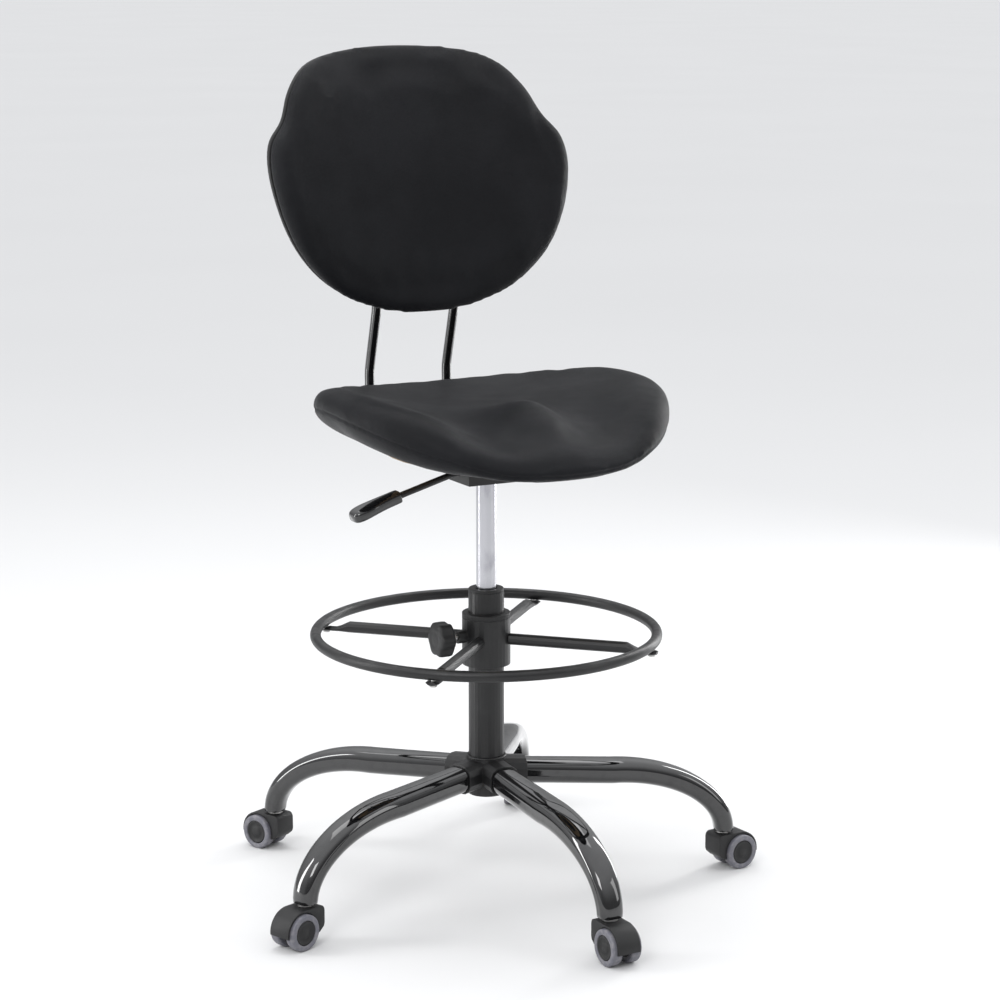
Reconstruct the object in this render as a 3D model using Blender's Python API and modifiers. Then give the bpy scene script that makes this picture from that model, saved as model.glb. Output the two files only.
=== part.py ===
"""Drafting chair: a five-leg caster base, a gas-lift column, a height-set foot ring,
and a contoured seat and back.  Metres, +Z up, the sitter faces -Y.

While it is built the column's axis is X = Y = 0 and the floor is Z = 0.  The last step
moves the root empty, so that the origin ends up in the middle of the footprint.
"""

import math

import bmesh
import bpy
from mathutils import Matrix, Vector

# ---------------------------------------------------------------- driving dimensions
GAP = 0.0003                  # between two surfaces that touch or turn in each other
BEYOND = 0.010                # how far a cutter reaches past the surface it opens

# star base
STEM_CIRCLE = 0.346           # radius of the circle that the caster stems stand on
LEG_ROOT_Z = 0.163            # height of a leg's centre line where it leaves the hub
LEG_SLOPE = 0.062             # how far the straight stretch falls per metre outwards
LEG_BEND_START = 0.180        # radius where the straight stretch turns into the bend
LEG_DEPTH = 0.036             # section of the straight stretch, up and down
LEG_ROOT_WIDTH = 0.040
LEG_MID_WIDTH = 0.045
LEG_FOOT_DEPTH = 0.028        # section at the foot, measured outwards
LEG_FOOT_WIDTH = 0.034
LEG_WALL = 0.0025
LEG_HOLLOW_END = 60           # degrees round the bend where the hollow ends above the stem
SECTION_POWER = 2.6           # 2 is an ellipse, more is squarer
HUB_BOTTOM = 0.133
HUB_TOP = 0.187
HUB_WALL = 0.0025
ROOT_CLEARANCE = 0.0055       # from the hub's barrel to a leg's inner end
SLEEVE_REACH = 0.055          # radius where the hub's sleeves end

# column
TUBE_RADIUS = 0.025
TUBE_WALL = 0.0015
TUBE_BOTTOM = 0.136
TUBE_TOP = 0.425
TUBE_FLOOR = 0.003            # thickness of the plate that closes the tube
BUSH_LENGTH = 0.060
BUSH_RIM = 0.004
CYLINDER_RADIUS = 0.014
CYLINDER_WALL = 0.0018
CYLINDER_BOTTOM = 0.301
CYLINDER_TOP = 0.596
CYLINDER_TAPER = 0.0006       # how much thinner the cylinder's top end is
CYLINDER_SEAL = 0.008         # thickness of the seal the piston rod slides through
CYLINDER_HEAD = 0.015         # thickness of the valve head under the release button
ROD_RADIUS = 0.005
ROD_BOTTOM = 0.131
ROD_TOP = 0.387
PISTON_LENGTH = 0.012
BEARING_RADIUS = 0.017
BEARING_HEIGHT = 0.006
CLIP_RADIUS = 0.0085
CLIP_HEIGHT = 0.002
BUTTON_RADIUS = 0.0035

# foot ring
RING_RADIUS = 0.2377          # centre line of the ring's tube
RING_Z = 0.365
RING_TUBE = 0.008             # radius of the ring's tube
COLLAR_WALL = 0.0052
COLLAR_BOTTOM = 0.321
COLLAR_TOP = 0.395
CAP_HEIGHT = 0.007            # the plastic cap ring on the collar's top end
CAP_SPIGOT = 0.011            # how far the cap ring reaches into the collar
COLLAR_ROOM = 0.0038          # between the tube and the collar's wide middle bore
COLLAR_LIP = 0.006            # length of the narrow bore at the collar's lower end
SPOKE_COUNT = 4
SPOKE_RADIUS = 0.008
SPOKE_Z = 0.358
SPOKE_FLAT = 0.005            # thickness of a spoke's flattened end
SPOKE_FLAT_WIDTH = 0.020
SCREW_RADIUS = 0.003
SCREW_HEAD = 0.006
SCREW_DOME = 0.0035
SCREW_TIP = 0.002             # how far below the ring's centre line a screw ends
CLAMP_Z = 0.363
BOSS_RADIUS = 0.009
BOSS_LENGTH = 0.012           # how far the boss stands out from the collar
STUD_RADIUS = 0.004
PAD_RADIUS = 0.005
PAD_LENGTH = 0.0032
KNOB_RADIUS = 0.0235
KNOB_LOBE = 0.0018            # height of the knob's finger lobes
KNOB_LOBES = 6
KNOB_GAP = 0.011              # between the boss's end face and the knob's near face
KNOB_LENGTH = 0.024

# casters
WHEEL_RADIUS = 0.025
WHEEL_WIDTH = 0.015
WHEEL_SIDES = 24
WHEEL_CAP = 0.003             # thickness of the disc that closes a wheel's bore
TRAIL = 0.020                 # how far a wheel's axle stands behind its stem
HOOD_WEB = 0.013              # thickness of the hood's middle web, between the wheels
HOOD_WIDTH = 0.034
HOOD_BACK = 0.019             # how far the hood reaches on the stem's other side
HOOD_SKIN = 0.0028            # thickness of the fender over the wheels
FENDER_END = -6.0             # degrees below the axle where the fender stops
WHEEL_ROOM = 0.0012           # between a wheel and the fender over it
FOOT_ROOM = 0.004             # from the hood's top up to the leg's open end
AXLE_RADIUS = 0.003
STEM_RADIUS = 0.0055
STEM_DEPTH = 0.026            # how far the stem reaches up into the leg
STEM_SEAT = 0.010             # how far it reaches down into the hood
STEM_FLANGE = 0.011
CASTERS = (                   # name, angle of the leg from the front, direction of the trail
    ("front", 0.0, -88.0),
    ("left", 72.0, 5.0),
    ("rear_left", 144.0, 60.0),
    ("rear_right", 216.0, 115.0),
    ("right", 288.0, 200.0),
)

# seat
SEAT_WIDTH = 0.483
SEAT_FRONT = -0.254
SEAT_REAR = 0.218
SEAT_FRONT_POWER = 2.2        # squareness of the seat's front half seen from above
SEAT_REAR_POWER = 2.35
SEAT_UNDERSIDE = 0.635
SEAT_HEIGHT = 0.681           # lowest part of the sitting surface
BOLSTER_RISE = 0.048          # how much higher the side edges are
POMMEL_RISE = 0.025           # the ridge between the thighs
POMMEL_Y = -0.115
POMMEL_WIDTH = 0.042
POMMEL_LENGTH = 0.070
THIGH_DIP = 0.018             # the two hollows beside it
THIGH_X = 0.088
THIGH_Y = -0.150
THIGH_WIDTH = 0.050
THIGH_LENGTH = 0.080
FRONT_FALL = 0.024            # how far the front edge rolls down
ROLL_START = -0.120
REAR_RISE = 0.020             # how far the rear edge rolls up, on top
RISE_START = 0.040
FLAT_SHARE = 0.62             # how much of the outline the flat middle underneath takes
RIM_LOW = 0.627               # height of the rim's lower edge at the middle of a side's foot
RIM_LIFT = 0.034              # how much higher the rim's lower edge is at the two sides
RIM_REAR_LIFT = 0.014         # and how much higher it is from the middle to the rear
RIM_LIFT_START = -0.170
RIM_LIFT_END = 0.0
NOSE_START = -0.200           # where the rim's lower edge starts to fall to the front lip
NOSE_DROP = 0.015             # how far it falls
BOARD_THICKNESS = 0.010
BOARD_MARGIN = 0.006          # from the edge of the flat middle in to the board's edge
PLATE_THICKNESS = 0.003
PLATE_WIDTH = 0.160
PLATE_DEPTH = 0.190
HOUSING_WIDTH = 0.084
HOUSING_DEPTH = 0.060
HOUSING_BOTTOM = 0.581
HOUSING_WALL = 0.004
SLEEVE_SHORT = 0.005          # from the cylinder's top down to the end of the sleeve round it

# height lever
LEVER_PIVOT_X = -0.038
LEVER_ANGLE = 15.6            # degrees that the lever points below the horizontal
LEVER_AXIS_Z = 0.609          # height of the lever's centre line over the column's axis
LEVER_RADIUS = 0.0045
LEVER_ROOM = 0.002            # round the lever, in the hole it comes out of
LEVER_INNER = 0.044           # from the pivot to the end over the release button
LEVER_LENGTH = 0.130          # from the pivot to the end in the handle
HANDLE_START = 0.100
HANDLE_END = 0.174
HANDLE_WIDTH = 0.032
HANDLE_THICKNESS = 0.018
HANDLE_POWER = 3.4            # squareness of its section
HANDLE_DROOP = 0.004          # how far the handle's tip hangs below the rod's line

# back and its two posts
POST_RADIUS = 0.007
POST_SPACING = 0.124
POST_FRONT_Y = -0.060
POST_UP_Y = 0.241             # where the posts stand behind the seat
POST_BEND = 0.045             # radius of the bend under the seat
POST_KINK_Z = 0.710           # where they start to lean forward
POST_LEAN_Y = 0.216
POST_LEAN_Z = 0.795
POST_INNER_Y = 0.2045         # where they run inside the back
POST_INNER_Z = 0.860
POST_TOP = 0.900
BACK_CENTRE_Z = 0.980
BACK_DISH = 0.027             # how far the pad's side edges come forward of its middle
BACK_FRONT_Y = 0.188          # front face at the middle
BACK_PAD_REAR_Y = 0.204
BACK_SHELL_DEPTH = 0.036      # from the pad's rear face to the shell's rear face
SHELL_WALL = 0.003
BACK_TILT = 0.234             # the back's side view: upright at the bottom, curled back on top
BACK_CURL = 0.81
BACK_TOP_CURL = 0.72
BACK_OUTLINE = (              # half of the back's outline, from the bottom up: x, z
    (0.000, 0.792),
    (0.079, 0.801),
    (0.156, 0.837),
    (0.207, 0.899),
    (0.231, 0.979),
    (0.228, 1.036),
    (0.202, 1.068),
    (0.183, 1.110),
    (0.144, 1.149),
    (0.072, 1.166),
    (0.000, 1.170),
)

# sizes that follow from the ones above
COLLAR_BORE = TUBE_RADIUS + COLLAR_ROOM
COLLAR_RADIUS = COLLAR_BORE + COLLAR_WALL
BOSS_REACH = COLLAR_RADIUS + BOSS_LENGTH
KNOB_START = BOSS_REACH + KNOB_GAP
HOOD_TOP = 2 * WHEEL_RADIUS + WHEEL_ROOM + HOOD_SKIN
LEG_FOOT_Z = HOOD_TOP + FOOT_ROOM

# how finely round things are cut
COARSE = 12
MEDIUM = 16
FINE = 32


# ---------------------------------------------------------------- scene and materials
for leftover in list(bpy.data.objects):
    bpy.data.objects.remove(leftover)

chair = bpy.data.collections.new("drafting_chair")
bpy.context.scene.collection.children.link(chair)
bench = bpy.data.collections.new("workbench")
bpy.context.scene.collection.children.link(bench)


def material(name, colour, roughness, metallic=0.0):
    made = bpy.data.materials.new(name)
    made.use_nodes = True
    shader = made.node_tree.nodes["Principled BSDF"]
    shader.inputs["Base Color"].default_value = (*colour, 1.0)
    shader.inputs["Roughness"].default_value = roughness
    shader.inputs["Metallic"].default_value = metallic
    return made


GLOSS_BLACK = material("gloss_black_plating", (0.03, 0.03, 0.032), 0.12, 0.9)
SATIN_BLACK = material("satin_black_powder_coat", (0.028, 0.028, 0.030), 0.45)
MATTE_BLACK = material("black_nylon", (0.022, 0.022, 0.024), 0.55)
GLOSS_PLASTIC = material("gloss_black_plastic", (0.015, 0.015, 0.016), 0.2)
WHEEL_GREY = material("grey_polyurethane", (0.19, 0.19, 0.23), 0.5)
CHROME = material("chrome", (0.78, 0.78, 0.80), 0.08, 1.0)
STEEL = material("zinc_steel", (0.55, 0.55, 0.56), 0.35, 1.0)
LEATHER = material("black_upholstery", (0.020, 0.021, 0.024), 0.42)
PLYWOOD = material("plywood", (0.45, 0.31, 0.18), 0.7)


def empty(name, location=(0.0, 0.0, 0.0), parent=None):
    made = bpy.data.objects.new(name, None)
    made.empty_display_size = 0.05
    made.location = location
    made.parent = parent
    chair.objects.link(made)
    return made


def part(name, mesh, finish, parent, location=(0.0, 0.0, 0.0), rotation=(0.0, 0.0, 0.0)):
    """Put one finished piece in the chair, smooth where it is round and sharp at its edges."""
    mesh.shade_smooth()
    mesh.set_sharp_from_angle(angle=math.radians(35))
    mesh.materials.clear()
    mesh.materials.append(finish)
    made = bpy.data.objects.new(name, mesh)
    made.location = location
    made.rotation_euler = rotation
    made.parent = parent
    chair.objects.link(made)
    return made


# ---------------------------------------------------------------- shapes
def mesh_of(bm):
    bmesh.ops.remove_doubles(bm, verts=bm.verts, dist=1e-6)
    bmesh.ops.recalc_face_normals(bm, faces=bm.faces)
    mesh = bpy.data.meshes.new("shape")
    bm.to_mesh(mesh)
    bm.free()
    return mesh


def on_bench(mesh):
    made = bpy.data.objects.new("blank", mesh)
    bench.objects.link(made)
    return made


def evaluated(blank):
    """The mesh that an object's modifiers make of it; the object itself is used up."""
    depsgraph = bpy.context.evaluated_depsgraph_get()
    made = bpy.data.meshes.new_from_object(blank.evaluated_get(depsgraph))
    bpy.data.objects.remove(blank)
    bm = bmesh.new()
    bm.from_mesh(made)
    return mesh_of(bm)


def turned(profile, sides, hollow=False):
    """Turn (radius, height) points round Z.  They run down the outer side, and a hollow
    profile closes on itself instead of ending on the axis."""
    mesh = bpy.data.meshes.new("profile")
    edges = [(i, i + 1) for i in range(len(profile) - 1)]
    if hollow:
        edges.append((len(profile) - 1, 0))
    mesh.from_pydata([(radius, 0.0, height) for radius, height in profile], edges, [])
    blank = on_bench(mesh)
    screw = blank.modifiers.new("turn", "SCREW")
    screw.steps = screw.render_steps = sides
    screw.use_merge_vertices = True
    screw.merge_threshold = 1e-5
    return evaluated(blank)


def ring(outer, inner, bottom, top, sides):
    profile = [(outer, top), (outer, bottom), (inner, bottom), (inner, top)]
    return turned(profile, sides, hollow=True)


def rod(radius, bottom, top, sides):
    return turned([(0.0, top), (radius, top), (radius, bottom), (0.0, bottom)], sides)


def block(low, high):
    low, high = Vector(low), Vector(high)
    bm = bmesh.new()
    bmesh.ops.create_cube(bm, size=1.0)
    bmesh.ops.scale(bm, vec=high - low, verts=bm.verts)
    bmesh.ops.translate(bm, vec=(low + high) / 2, verts=bm.verts)
    return mesh_of(bm)


def moved(mesh, matrix):
    mesh.transform(matrix)
    return mesh


def along_x(mesh):
    """Lay a piece that was turned round Z along X, its top end towards -X."""
    return moved(mesh, Matrix.Rotation(math.radians(-90), 4, "Y"))


def along_y(mesh):
    """Lay a piece that was turned round Z along Y, its top end towards +Y."""
    return moved(mesh, Matrix.Rotation(math.radians(-90), 4, "X"))


def combined(mesh, tools, operation):
    blank = on_bench(mesh)
    helpers = [on_bench(tool) for tool in tools]
    for helper in helpers:
        step = blank.modifiers.new("step", "BOOLEAN")
        step.operation = operation
        step.solver = "EXACT"
        step.object = helper
    made = evaluated(blank)
    for helper in helpers:
        bpy.data.objects.remove(helper)
    return made


def cut(mesh, *tools):
    return combined(mesh, tools, "DIFFERENCE")


def fused(mesh, *tools):
    return combined(mesh, tools, "UNION")


def loft(rings):
    """Skin a row of closed rings that all have the same number of points, and cap both ends."""
    bm = bmesh.new()
    loops = [[bm.verts.new(point) for point in ring_points] for ring_points in rings]
    count = len(loops[0])
    for lower, upper in zip(loops, loops[1:]):
        for i in range(count):
            j = (i + 1) % count
            bm.faces.new((lower[i], lower[j], upper[j], upper[i]))
    bm.faces.new(reversed(loops[0]))
    bm.faces.new(loops[-1])
    return mesh_of(bm)


def rounded(angle, power):
    """A point of the unit rounded square at this angle: power 2 is a circle."""
    across = math.copysign(abs(math.cos(angle)) ** (2 / power), math.cos(angle))
    along = math.copysign(abs(math.sin(angle)) ** (2 / power), math.sin(angle))
    return across, along


def section(centre, across, up, width, depth, sides=14, power=SECTION_POWER):
    """A rounded section, width along the vector across and depth along the vector up."""
    points = []
    for i in range(sides):
        u, v = rounded(2 * math.pi * (i + 0.5) / sides, power)
        points.append(Vector(centre) + Vector(across) * u * width / 2 + Vector(up) * v * depth / 2)
    return points


def between(value, low, high):
    """0 at low, 1 at high, and clamped outside."""
    return min(1.0, max(0.0, (value - low) / (high - low)))


# ---------------------------------------------------------------- base
def leg_centre(radius):
    return LEG_ROOT_Z - LEG_SLOPE * (radius - SLEEVE_REACH)


def leg_sections(thinner=0.0, bend_end=90, sides=14):
    """Sections of a leg that points to -Y: straight out of the hub, then an elliptic bend.
    The hollow inside is made of the same sections, thinner by two walls and shorter."""
    across = Vector((1, 0, 0))
    root = TUBE_RADIUS + HUB_WALL + ROOT_CLEARANCE
    rings = []
    for radius in (root, SLEEVE_REACH + 0.002, 0.120):
        grow = between(radius, SLEEVE_REACH, LEG_BEND_START)
        width = LEG_ROOT_WIDTH + (LEG_MID_WIDTH - LEG_ROOT_WIDTH) * grow
        centre = (0, -radius, leg_centre(radius))
        rings.append(section(centre, across, (0, 0, 1), width - thinner, LEG_DEPTH - thinner, sides))
    bend_out = STEM_CIRCLE - LEG_BEND_START
    bend_down = leg_centre(LEG_BEND_START) - LEG_FOOT_Z
    for degrees in range(0, bend_end + 1, 10):
        turn = math.radians(degrees)
        radius = LEG_BEND_START + bend_out * math.sin(turn)
        height = LEG_FOOT_Z + bend_down * math.cos(turn)
        outward = Vector((0, -bend_out * math.cos(turn), -bend_down * math.sin(turn))).normalized()
        up = outward.cross(across)
        share = degrees / 90
        width = LEG_MID_WIDTH + (LEG_FOOT_WIDTH - LEG_MID_WIDTH) * share
        depth = LEG_DEPTH + (LEG_FOOT_DEPTH - LEG_DEPTH) * share
        rings.append(section((0, -radius, height), across, up, width - thinner, depth - thinner, sides))
    return rings


def leg_shape():
    socket_top = LEG_FOOT_Z + STEM_DEPTH + 2 * GAP
    socket = rod(STEM_RADIUS + GAP, LEG_FOOT_Z - BEYOND, socket_top, MEDIUM)
    moved(socket, Matrix.Translation((0, -STEM_CIRCLE, 0)))
    hollow = leg_sections(2 * LEG_WALL, LEG_HOLLOW_END, 10)
    hollow[0] = [point + Vector((0, BEYOND, 0)) for point in hollow[0]]
    return cut(loft(leg_sections()), socket, loft(hollow))


def sleeve(near, far, grow, turn):
    """The straight box of one sleeve, grown all round by a wall or a gap."""
    rings = []
    for radius in (near, far):
        centre = (0, -radius, leg_centre(radius))
        width = LEG_ROOT_WIDTH + 2 * grow
        rings.append(section(centre, (1, 0, 0), (0, 0, 1), width, LEG_DEPTH + 2 * grow))
    return moved(loft(rings), Matrix.Rotation(turn, 4, "Z"))


def hub_shape():
    outer = TUBE_RADIUS + GAP + HUB_WALL
    profile = [(0, HUB_TOP), (outer, HUB_TOP), (outer, HUB_BOTTOM + 0.008)]
    profile += [(outer - 0.0006, HUB_BOTTOM + 0.003), (outer - 0.0018, HUB_BOTTOM)]
    barrel = turned(profile + [(0, HUB_BOTTOM)], FINE)
    turns = [math.radians(angle) for _, angle, _ in CASTERS]
    socket_near = TUBE_RADIUS + HUB_WALL + ROOT_CLEARANCE - GAP
    sleeves = [sleeve(0.012, SLEEVE_REACH, HUB_WALL + GAP, turn) for turn in turns]
    sockets = [sleeve(socket_near, SLEEVE_REACH + BEYOND, GAP, turn) for turn in turns]
    bore = rod(TUBE_RADIUS + GAP, HUB_BOTTOM - BEYOND, HUB_TOP + BEYOND, FINE)
    return cut(fused(barrel, *sleeves), *sockets, bore)


def build_base(root):
    part("hub", hub_shape(), SATIN_BLACK, root)
    leg = leg_shape()
    for name, angle, _ in CASTERS:
        part("leg_" + name, leg, GLOSS_BLACK, root, rotation=(0, 0, math.radians(angle)))


# ---------------------------------------------------------------- casters
def wheel_shape():
    """A wheel round Y whose middle is the origin; its bore opens to -Y, its disc faces +Y."""
    rim = WHEEL_RADIUS / math.cos(math.pi / WHEEL_SIDES)
    half = WHEEL_WIDTH / 2
    shoulder = rim - 0.0025
    bore = AXLE_RADIUS + GAP
    profile = [(0, half), (shoulder, half), (rim, half - 0.003), (rim, -half + 0.003)]
    profile += [(shoulder, -half), (bore, -half), (bore, half - WHEEL_CAP), (0, half - WHEEL_CAP)]
    wheel = turned(profile, WHEEL_SIDES)
    moved(wheel, Matrix.Rotation(math.pi / WHEEL_SIDES, 4, "Z"))
    return along_y(wheel)


def hood_outline():
    """Side view of the hood, x along the trail from the stem, z from the floor."""
    reach = WHEEL_RADIUS + WHEEL_ROOM + HOOD_SKIN
    points = []
    for i in range(9):
        angle = math.radians(FENDER_END + (90 - FENDER_END) * i / 8)
        points.append((TRAIL + reach * math.cos(angle), WHEEL_RADIUS + reach * math.sin(angle)))
    points[-1] = (TRAIL, HOOD_TOP)
    points += [(-HOOD_BACK + 0.006, HOOD_TOP), (-HOOD_BACK + 0.002, HOOD_TOP - 0.002)]
    points += [(-HOOD_BACK, HOOD_TOP - 0.006), (-HOOD_BACK, WHEEL_RADIUS + 0.004)]
    points += [(-HOOD_BACK + 0.009, WHEEL_RADIUS - 0.007), (TRAIL, WHEEL_RADIUS - 0.012)]
    return points


def hood_shape():
    half = HOOD_WIDTH / 2
    outline = hood_outline()
    solid = loft([[Vector((x, y, z)) for x, z in outline] for y in (-half, half)])
    room = WHEEL_RADIUS + WHEEL_ROOM
    rooms = []
    for side in (-1, 1):
        near, far = sorted((side * HOOD_WEB / 2, side * HOOD_WIDTH))
        space = along_y(rod(room, near, far, WHEEL_SIDES))
        rooms.append(moved(space, Matrix.Translation((TRAIL, 0, WHEEL_RADIUS))))
    axle_hole = along_y(rod(AXLE_RADIUS + GAP, -HOOD_WIDTH, HOOD_WIDTH, COARSE))
    moved(axle_hole, Matrix.Translation((TRAIL, 0, WHEEL_RADIUS)))
    seat = HOOD_TOP - STEM_SEAT - 2 * GAP
    stem_hole = rod(STEM_RADIUS + GAP, seat, HOOD_TOP + BEYOND, MEDIUM)
    return cut(solid, *rooms, axle_hole, stem_hole)


def stem_shape():
    top = LEG_FOOT_Z + STEM_DEPTH
    flange_top = LEG_FOOT_Z - GAP
    flange_bottom = HOOD_TOP + GAP
    profile = [(0, top), (STEM_RADIUS - 0.001, top), (STEM_RADIUS, top - 0.002)]
    profile += [(STEM_RADIUS, flange_top), (STEM_FLANGE, flange_top), (STEM_FLANGE, flange_bottom)]
    profile += [(STEM_RADIUS, flange_bottom), (STEM_RADIUS, HOOD_TOP - STEM_SEAT)]
    return turned(profile + [(0, HOOD_TOP - STEM_SEAT)], MEDIUM)


def build_casters(root):
    wheel = wheel_shape()
    hood = hood_shape()
    stem = stem_shape()
    wheel_y = HOOD_WEB / 2 + 2 * GAP + WHEEL_WIDTH / 2
    axle_half = wheel_y + WHEEL_WIDTH / 2 - WHEEL_CAP - GAP
    axle = along_y(rod(AXLE_RADIUS, -axle_half, axle_half, COARSE))
    for name, angle, trail in CASTERS:
        turn = math.radians(angle)
        place = (STEM_CIRCLE * math.sin(turn), -STEM_CIRCLE * math.cos(turn), 0)
        swivel = empty("caster_" + name + "_swivel", place, root)
        swivel.rotation_euler = (0, 0, math.radians(trail))
        prefix = "caster_" + name
        part(prefix + "_stem", stem, STEEL, swivel)
        part(prefix + "_hood", hood, MATTE_BLACK, swivel)
        part(prefix + "_axle", axle, STEEL, swivel, (TRAIL, 0, WHEEL_RADIUS))
        for side, facing in (("a", 0.0), ("b", math.pi)):
            y = wheel_y if side == "a" else -wheel_y
            place = (TRAIL, y, WHEEL_RADIUS)
            part(prefix + "_wheel_" + side, wheel, WHEEL_GREY, swivel, place, (0, 0, facing))


# ---------------------------------------------------------------- column
def build_column(root):
    """The fixed outer tube, its bush, and the bearing that the piston rod turns on."""
    inner = TUBE_RADIUS - TUBE_WALL
    floor = TUBE_BOTTOM + TUBE_FLOOR
    rod_hole = ROD_RADIUS + GAP
    profile = [(TUBE_RADIUS, TUBE_TOP), (TUBE_RADIUS, TUBE_BOTTOM), (rod_hole, TUBE_BOTTOM)]
    profile += [(rod_hole, floor), (inner, floor), (inner, TUBE_TOP)]
    part("stand_tube", turned(profile, FINE, hollow=True), SATIN_BLACK, root)

    slide = CYLINDER_RADIUS + GAP
    rim_low = TUBE_TOP + GAP
    rim_top = rim_low + BUSH_RIM
    profile = [(slide + 0.002, rim_top), (TUBE_RADIUS - 0.001, rim_top)]
    profile += [(TUBE_RADIUS, rim_top - 0.0015), (TUBE_RADIUS, rim_low), (inner - GAP, rim_low)]
    profile += [(inner - GAP, TUBE_TOP - BUSH_LENGTH), (slide, TUBE_TOP - BUSH_LENGTH)]
    profile += [(slide, rim_top - 0.002)]
    part("guide_bush", turned(profile, FINE, hollow=True), MATTE_BLACK, root)

    bearing = ring(BEARING_RADIUS, rod_hole, floor + GAP, floor + GAP + BEARING_HEIGHT, MEDIUM)
    part("thrust_bearing", bearing, STEEL, root)


def build_piston_rod(swivel):
    shoulder = TUBE_BOTTOM + TUBE_FLOOR + BEARING_HEIGHT + 2 * GAP
    piston = CYLINDER_RADIUS - CYLINDER_WALL - GAP
    profile = [(0, ROD_TOP), (piston, ROD_TOP), (piston, ROD_TOP - PISTON_LENGTH)]
    profile += [(ROD_RADIUS, ROD_TOP - PISTON_LENGTH), (ROD_RADIUS, shoulder + 0.003)]
    profile += [(0.010, shoulder + 0.003), (0.010, shoulder), (ROD_RADIUS, shoulder)]
    part("piston_rod", turned(profile + [(ROD_RADIUS, ROD_BOTTOM), (0, ROD_BOTTOM)], MEDIUM), STEEL, swivel)
    clip_top = TUBE_BOTTOM - GAP
    clip = ring(CLIP_RADIUS, ROD_RADIUS + GAP, clip_top - CLIP_HEIGHT, clip_top, MEDIUM)
    part("retaining_clip", clip, STEEL, swivel)


def build_gas_cylinder(lift):
    inner = CYLINDER_RADIUS - CYLINDER_WALL
    seal = CYLINDER_BOTTOM + CYLINDER_SEAL
    head = CYLINDER_TOP - CYLINDER_HEAD
    pin_hole = BUTTON_RADIUS + GAP
    profile = [(pin_hole, CYLINDER_TOP), (CYLINDER_RADIUS - CYLINDER_TAPER, CYLINDER_TOP)]
    profile += [(CYLINDER_RADIUS, HOUSING_BOTTOM), (CYLINDER_RADIUS, CYLINDER_BOTTOM)]
    profile += [(ROD_RADIUS + GAP, CYLINDER_BOTTOM), (ROD_RADIUS + GAP, seal)]
    profile += [(inner, seal), (inner, head), (pin_hole, head)]
    part("gas_cylinder", turned(profile, FINE, hollow=True), CHROME, lift)
    slant = math.tan(math.radians(LEVER_ANGLE))
    clear = LEVER_RADIUS / math.cos(math.radians(LEVER_ANGLE)) + BUTTON_RADIUS * slant
    top = LEVER_AXIS_Z - clear - GAP
    part("release_button", rod(BUTTON_RADIUS, head - 0.010, top, COARSE), STEEL, lift)


# ---------------------------------------------------------------- foot ring
def outward_from_column(angle):
    return Vector((math.sin(angle), -math.cos(angle), 0))


def spoke_angles():
    return [math.radians(45 + 360 / SPOKE_COUNT * i) for i in range(SPOKE_COUNT)]


def flat_level():
    """Middle height of a spoke's flattened end, which lies just under the ring's tube."""
    return RING_Z - RING_TUBE - 2 * GAP - SPOKE_FLAT / 2


def collar_shape():
    tube_slide = TUBE_RADIUS + GAP
    top = COLLAR_TOP - CAP_HEIGHT - GAP
    profile = [(COLLAR_RADIUS, top), (COLLAR_RADIUS, COLLAR_BOTTOM), (tube_slide, COLLAR_BOTTOM)]
    profile += [(tube_slide, COLLAR_BOTTOM + COLLAR_LIP), (COLLAR_BORE, COLLAR_BOTTOM + COLLAR_LIP)]
    wall = turned(profile + [(COLLAR_BORE, top)], FINE, hollow=True)
    boss = along_x(rod(BOSS_RADIUS, COLLAR_RADIUS - 0.003, BOSS_REACH, MEDIUM))
    thread = along_x(rod(STUD_RADIUS + GAP, TUBE_RADIUS, BOSS_REACH + BEYOND, COARSE))
    pocket = along_x(rod(PAD_RADIUS + 2 * GAP, TUBE_RADIUS, COLLAR_RADIUS + 0.0025, MEDIUM))
    for tool in (boss, thread, pocket):
        moved(tool, Matrix.Translation((0, 0, CLAMP_Z)))
    return cut(fused(wall, boss), thread, pocket)


def cap_shape():
    tube_slide = TUBE_RADIUS + GAP
    bottom = COLLAR_TOP - CAP_HEIGHT
    spigot = COLLAR_BORE - GAP
    profile = [(tube_slide, COLLAR_TOP), (COLLAR_RADIUS - 0.001, COLLAR_TOP)]
    profile += [(COLLAR_RADIUS, COLLAR_TOP - 0.001), (COLLAR_RADIUS, bottom), (spigot, bottom)]
    profile += [(spigot, bottom - CAP_SPIGOT), (tube_slide, bottom - CAP_SPIGOT)]
    return turned(profile, FINE, hollow=True)


def spoke_shape():
    """A tube that points to -Y, with its outer end pressed flat under the ring."""
    across = Vector((1, 0, 0))
    up = Vector((0, 0, 1))
    round_size = 2 * SPOKE_RADIUS
    flat_start = RING_RADIUS - RING_TUBE - 0.005
    tip = RING_RADIUS + RING_TUBE
    stations = (                      # distance out, width, thickness, middle height
        (COLLAR_RADIUS + GAP, round_size, round_size, SPOKE_Z),
        (flat_start - 0.022, round_size, round_size, SPOKE_Z),
        (flat_start - 0.008, SPOKE_FLAT_WIDTH - 0.002, SPOKE_FLAT + 0.003, flat_level() + 0.001),
        (flat_start, SPOKE_FLAT_WIDTH, SPOKE_FLAT, flat_level()),
        (tip - 0.005, SPOKE_FLAT_WIDTH, SPOKE_FLAT, flat_level()),
        (tip, SPOKE_FLAT_WIDTH - 0.008, SPOKE_FLAT, flat_level()),
    )
    rings = []
    for distance, width, depth, height in stations:
        rings.append(section((0, -distance, height), across, up, width, depth, COARSE, 2.0))
    hole = rod(SCREW_RADIUS + GAP, flat_level() - BEYOND, flat_level() + BEYOND, COARSE)
    moved(hole, Matrix.Translation((0, -RING_RADIUS, 0)))
    return cut(loft(rings), hole)


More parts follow.
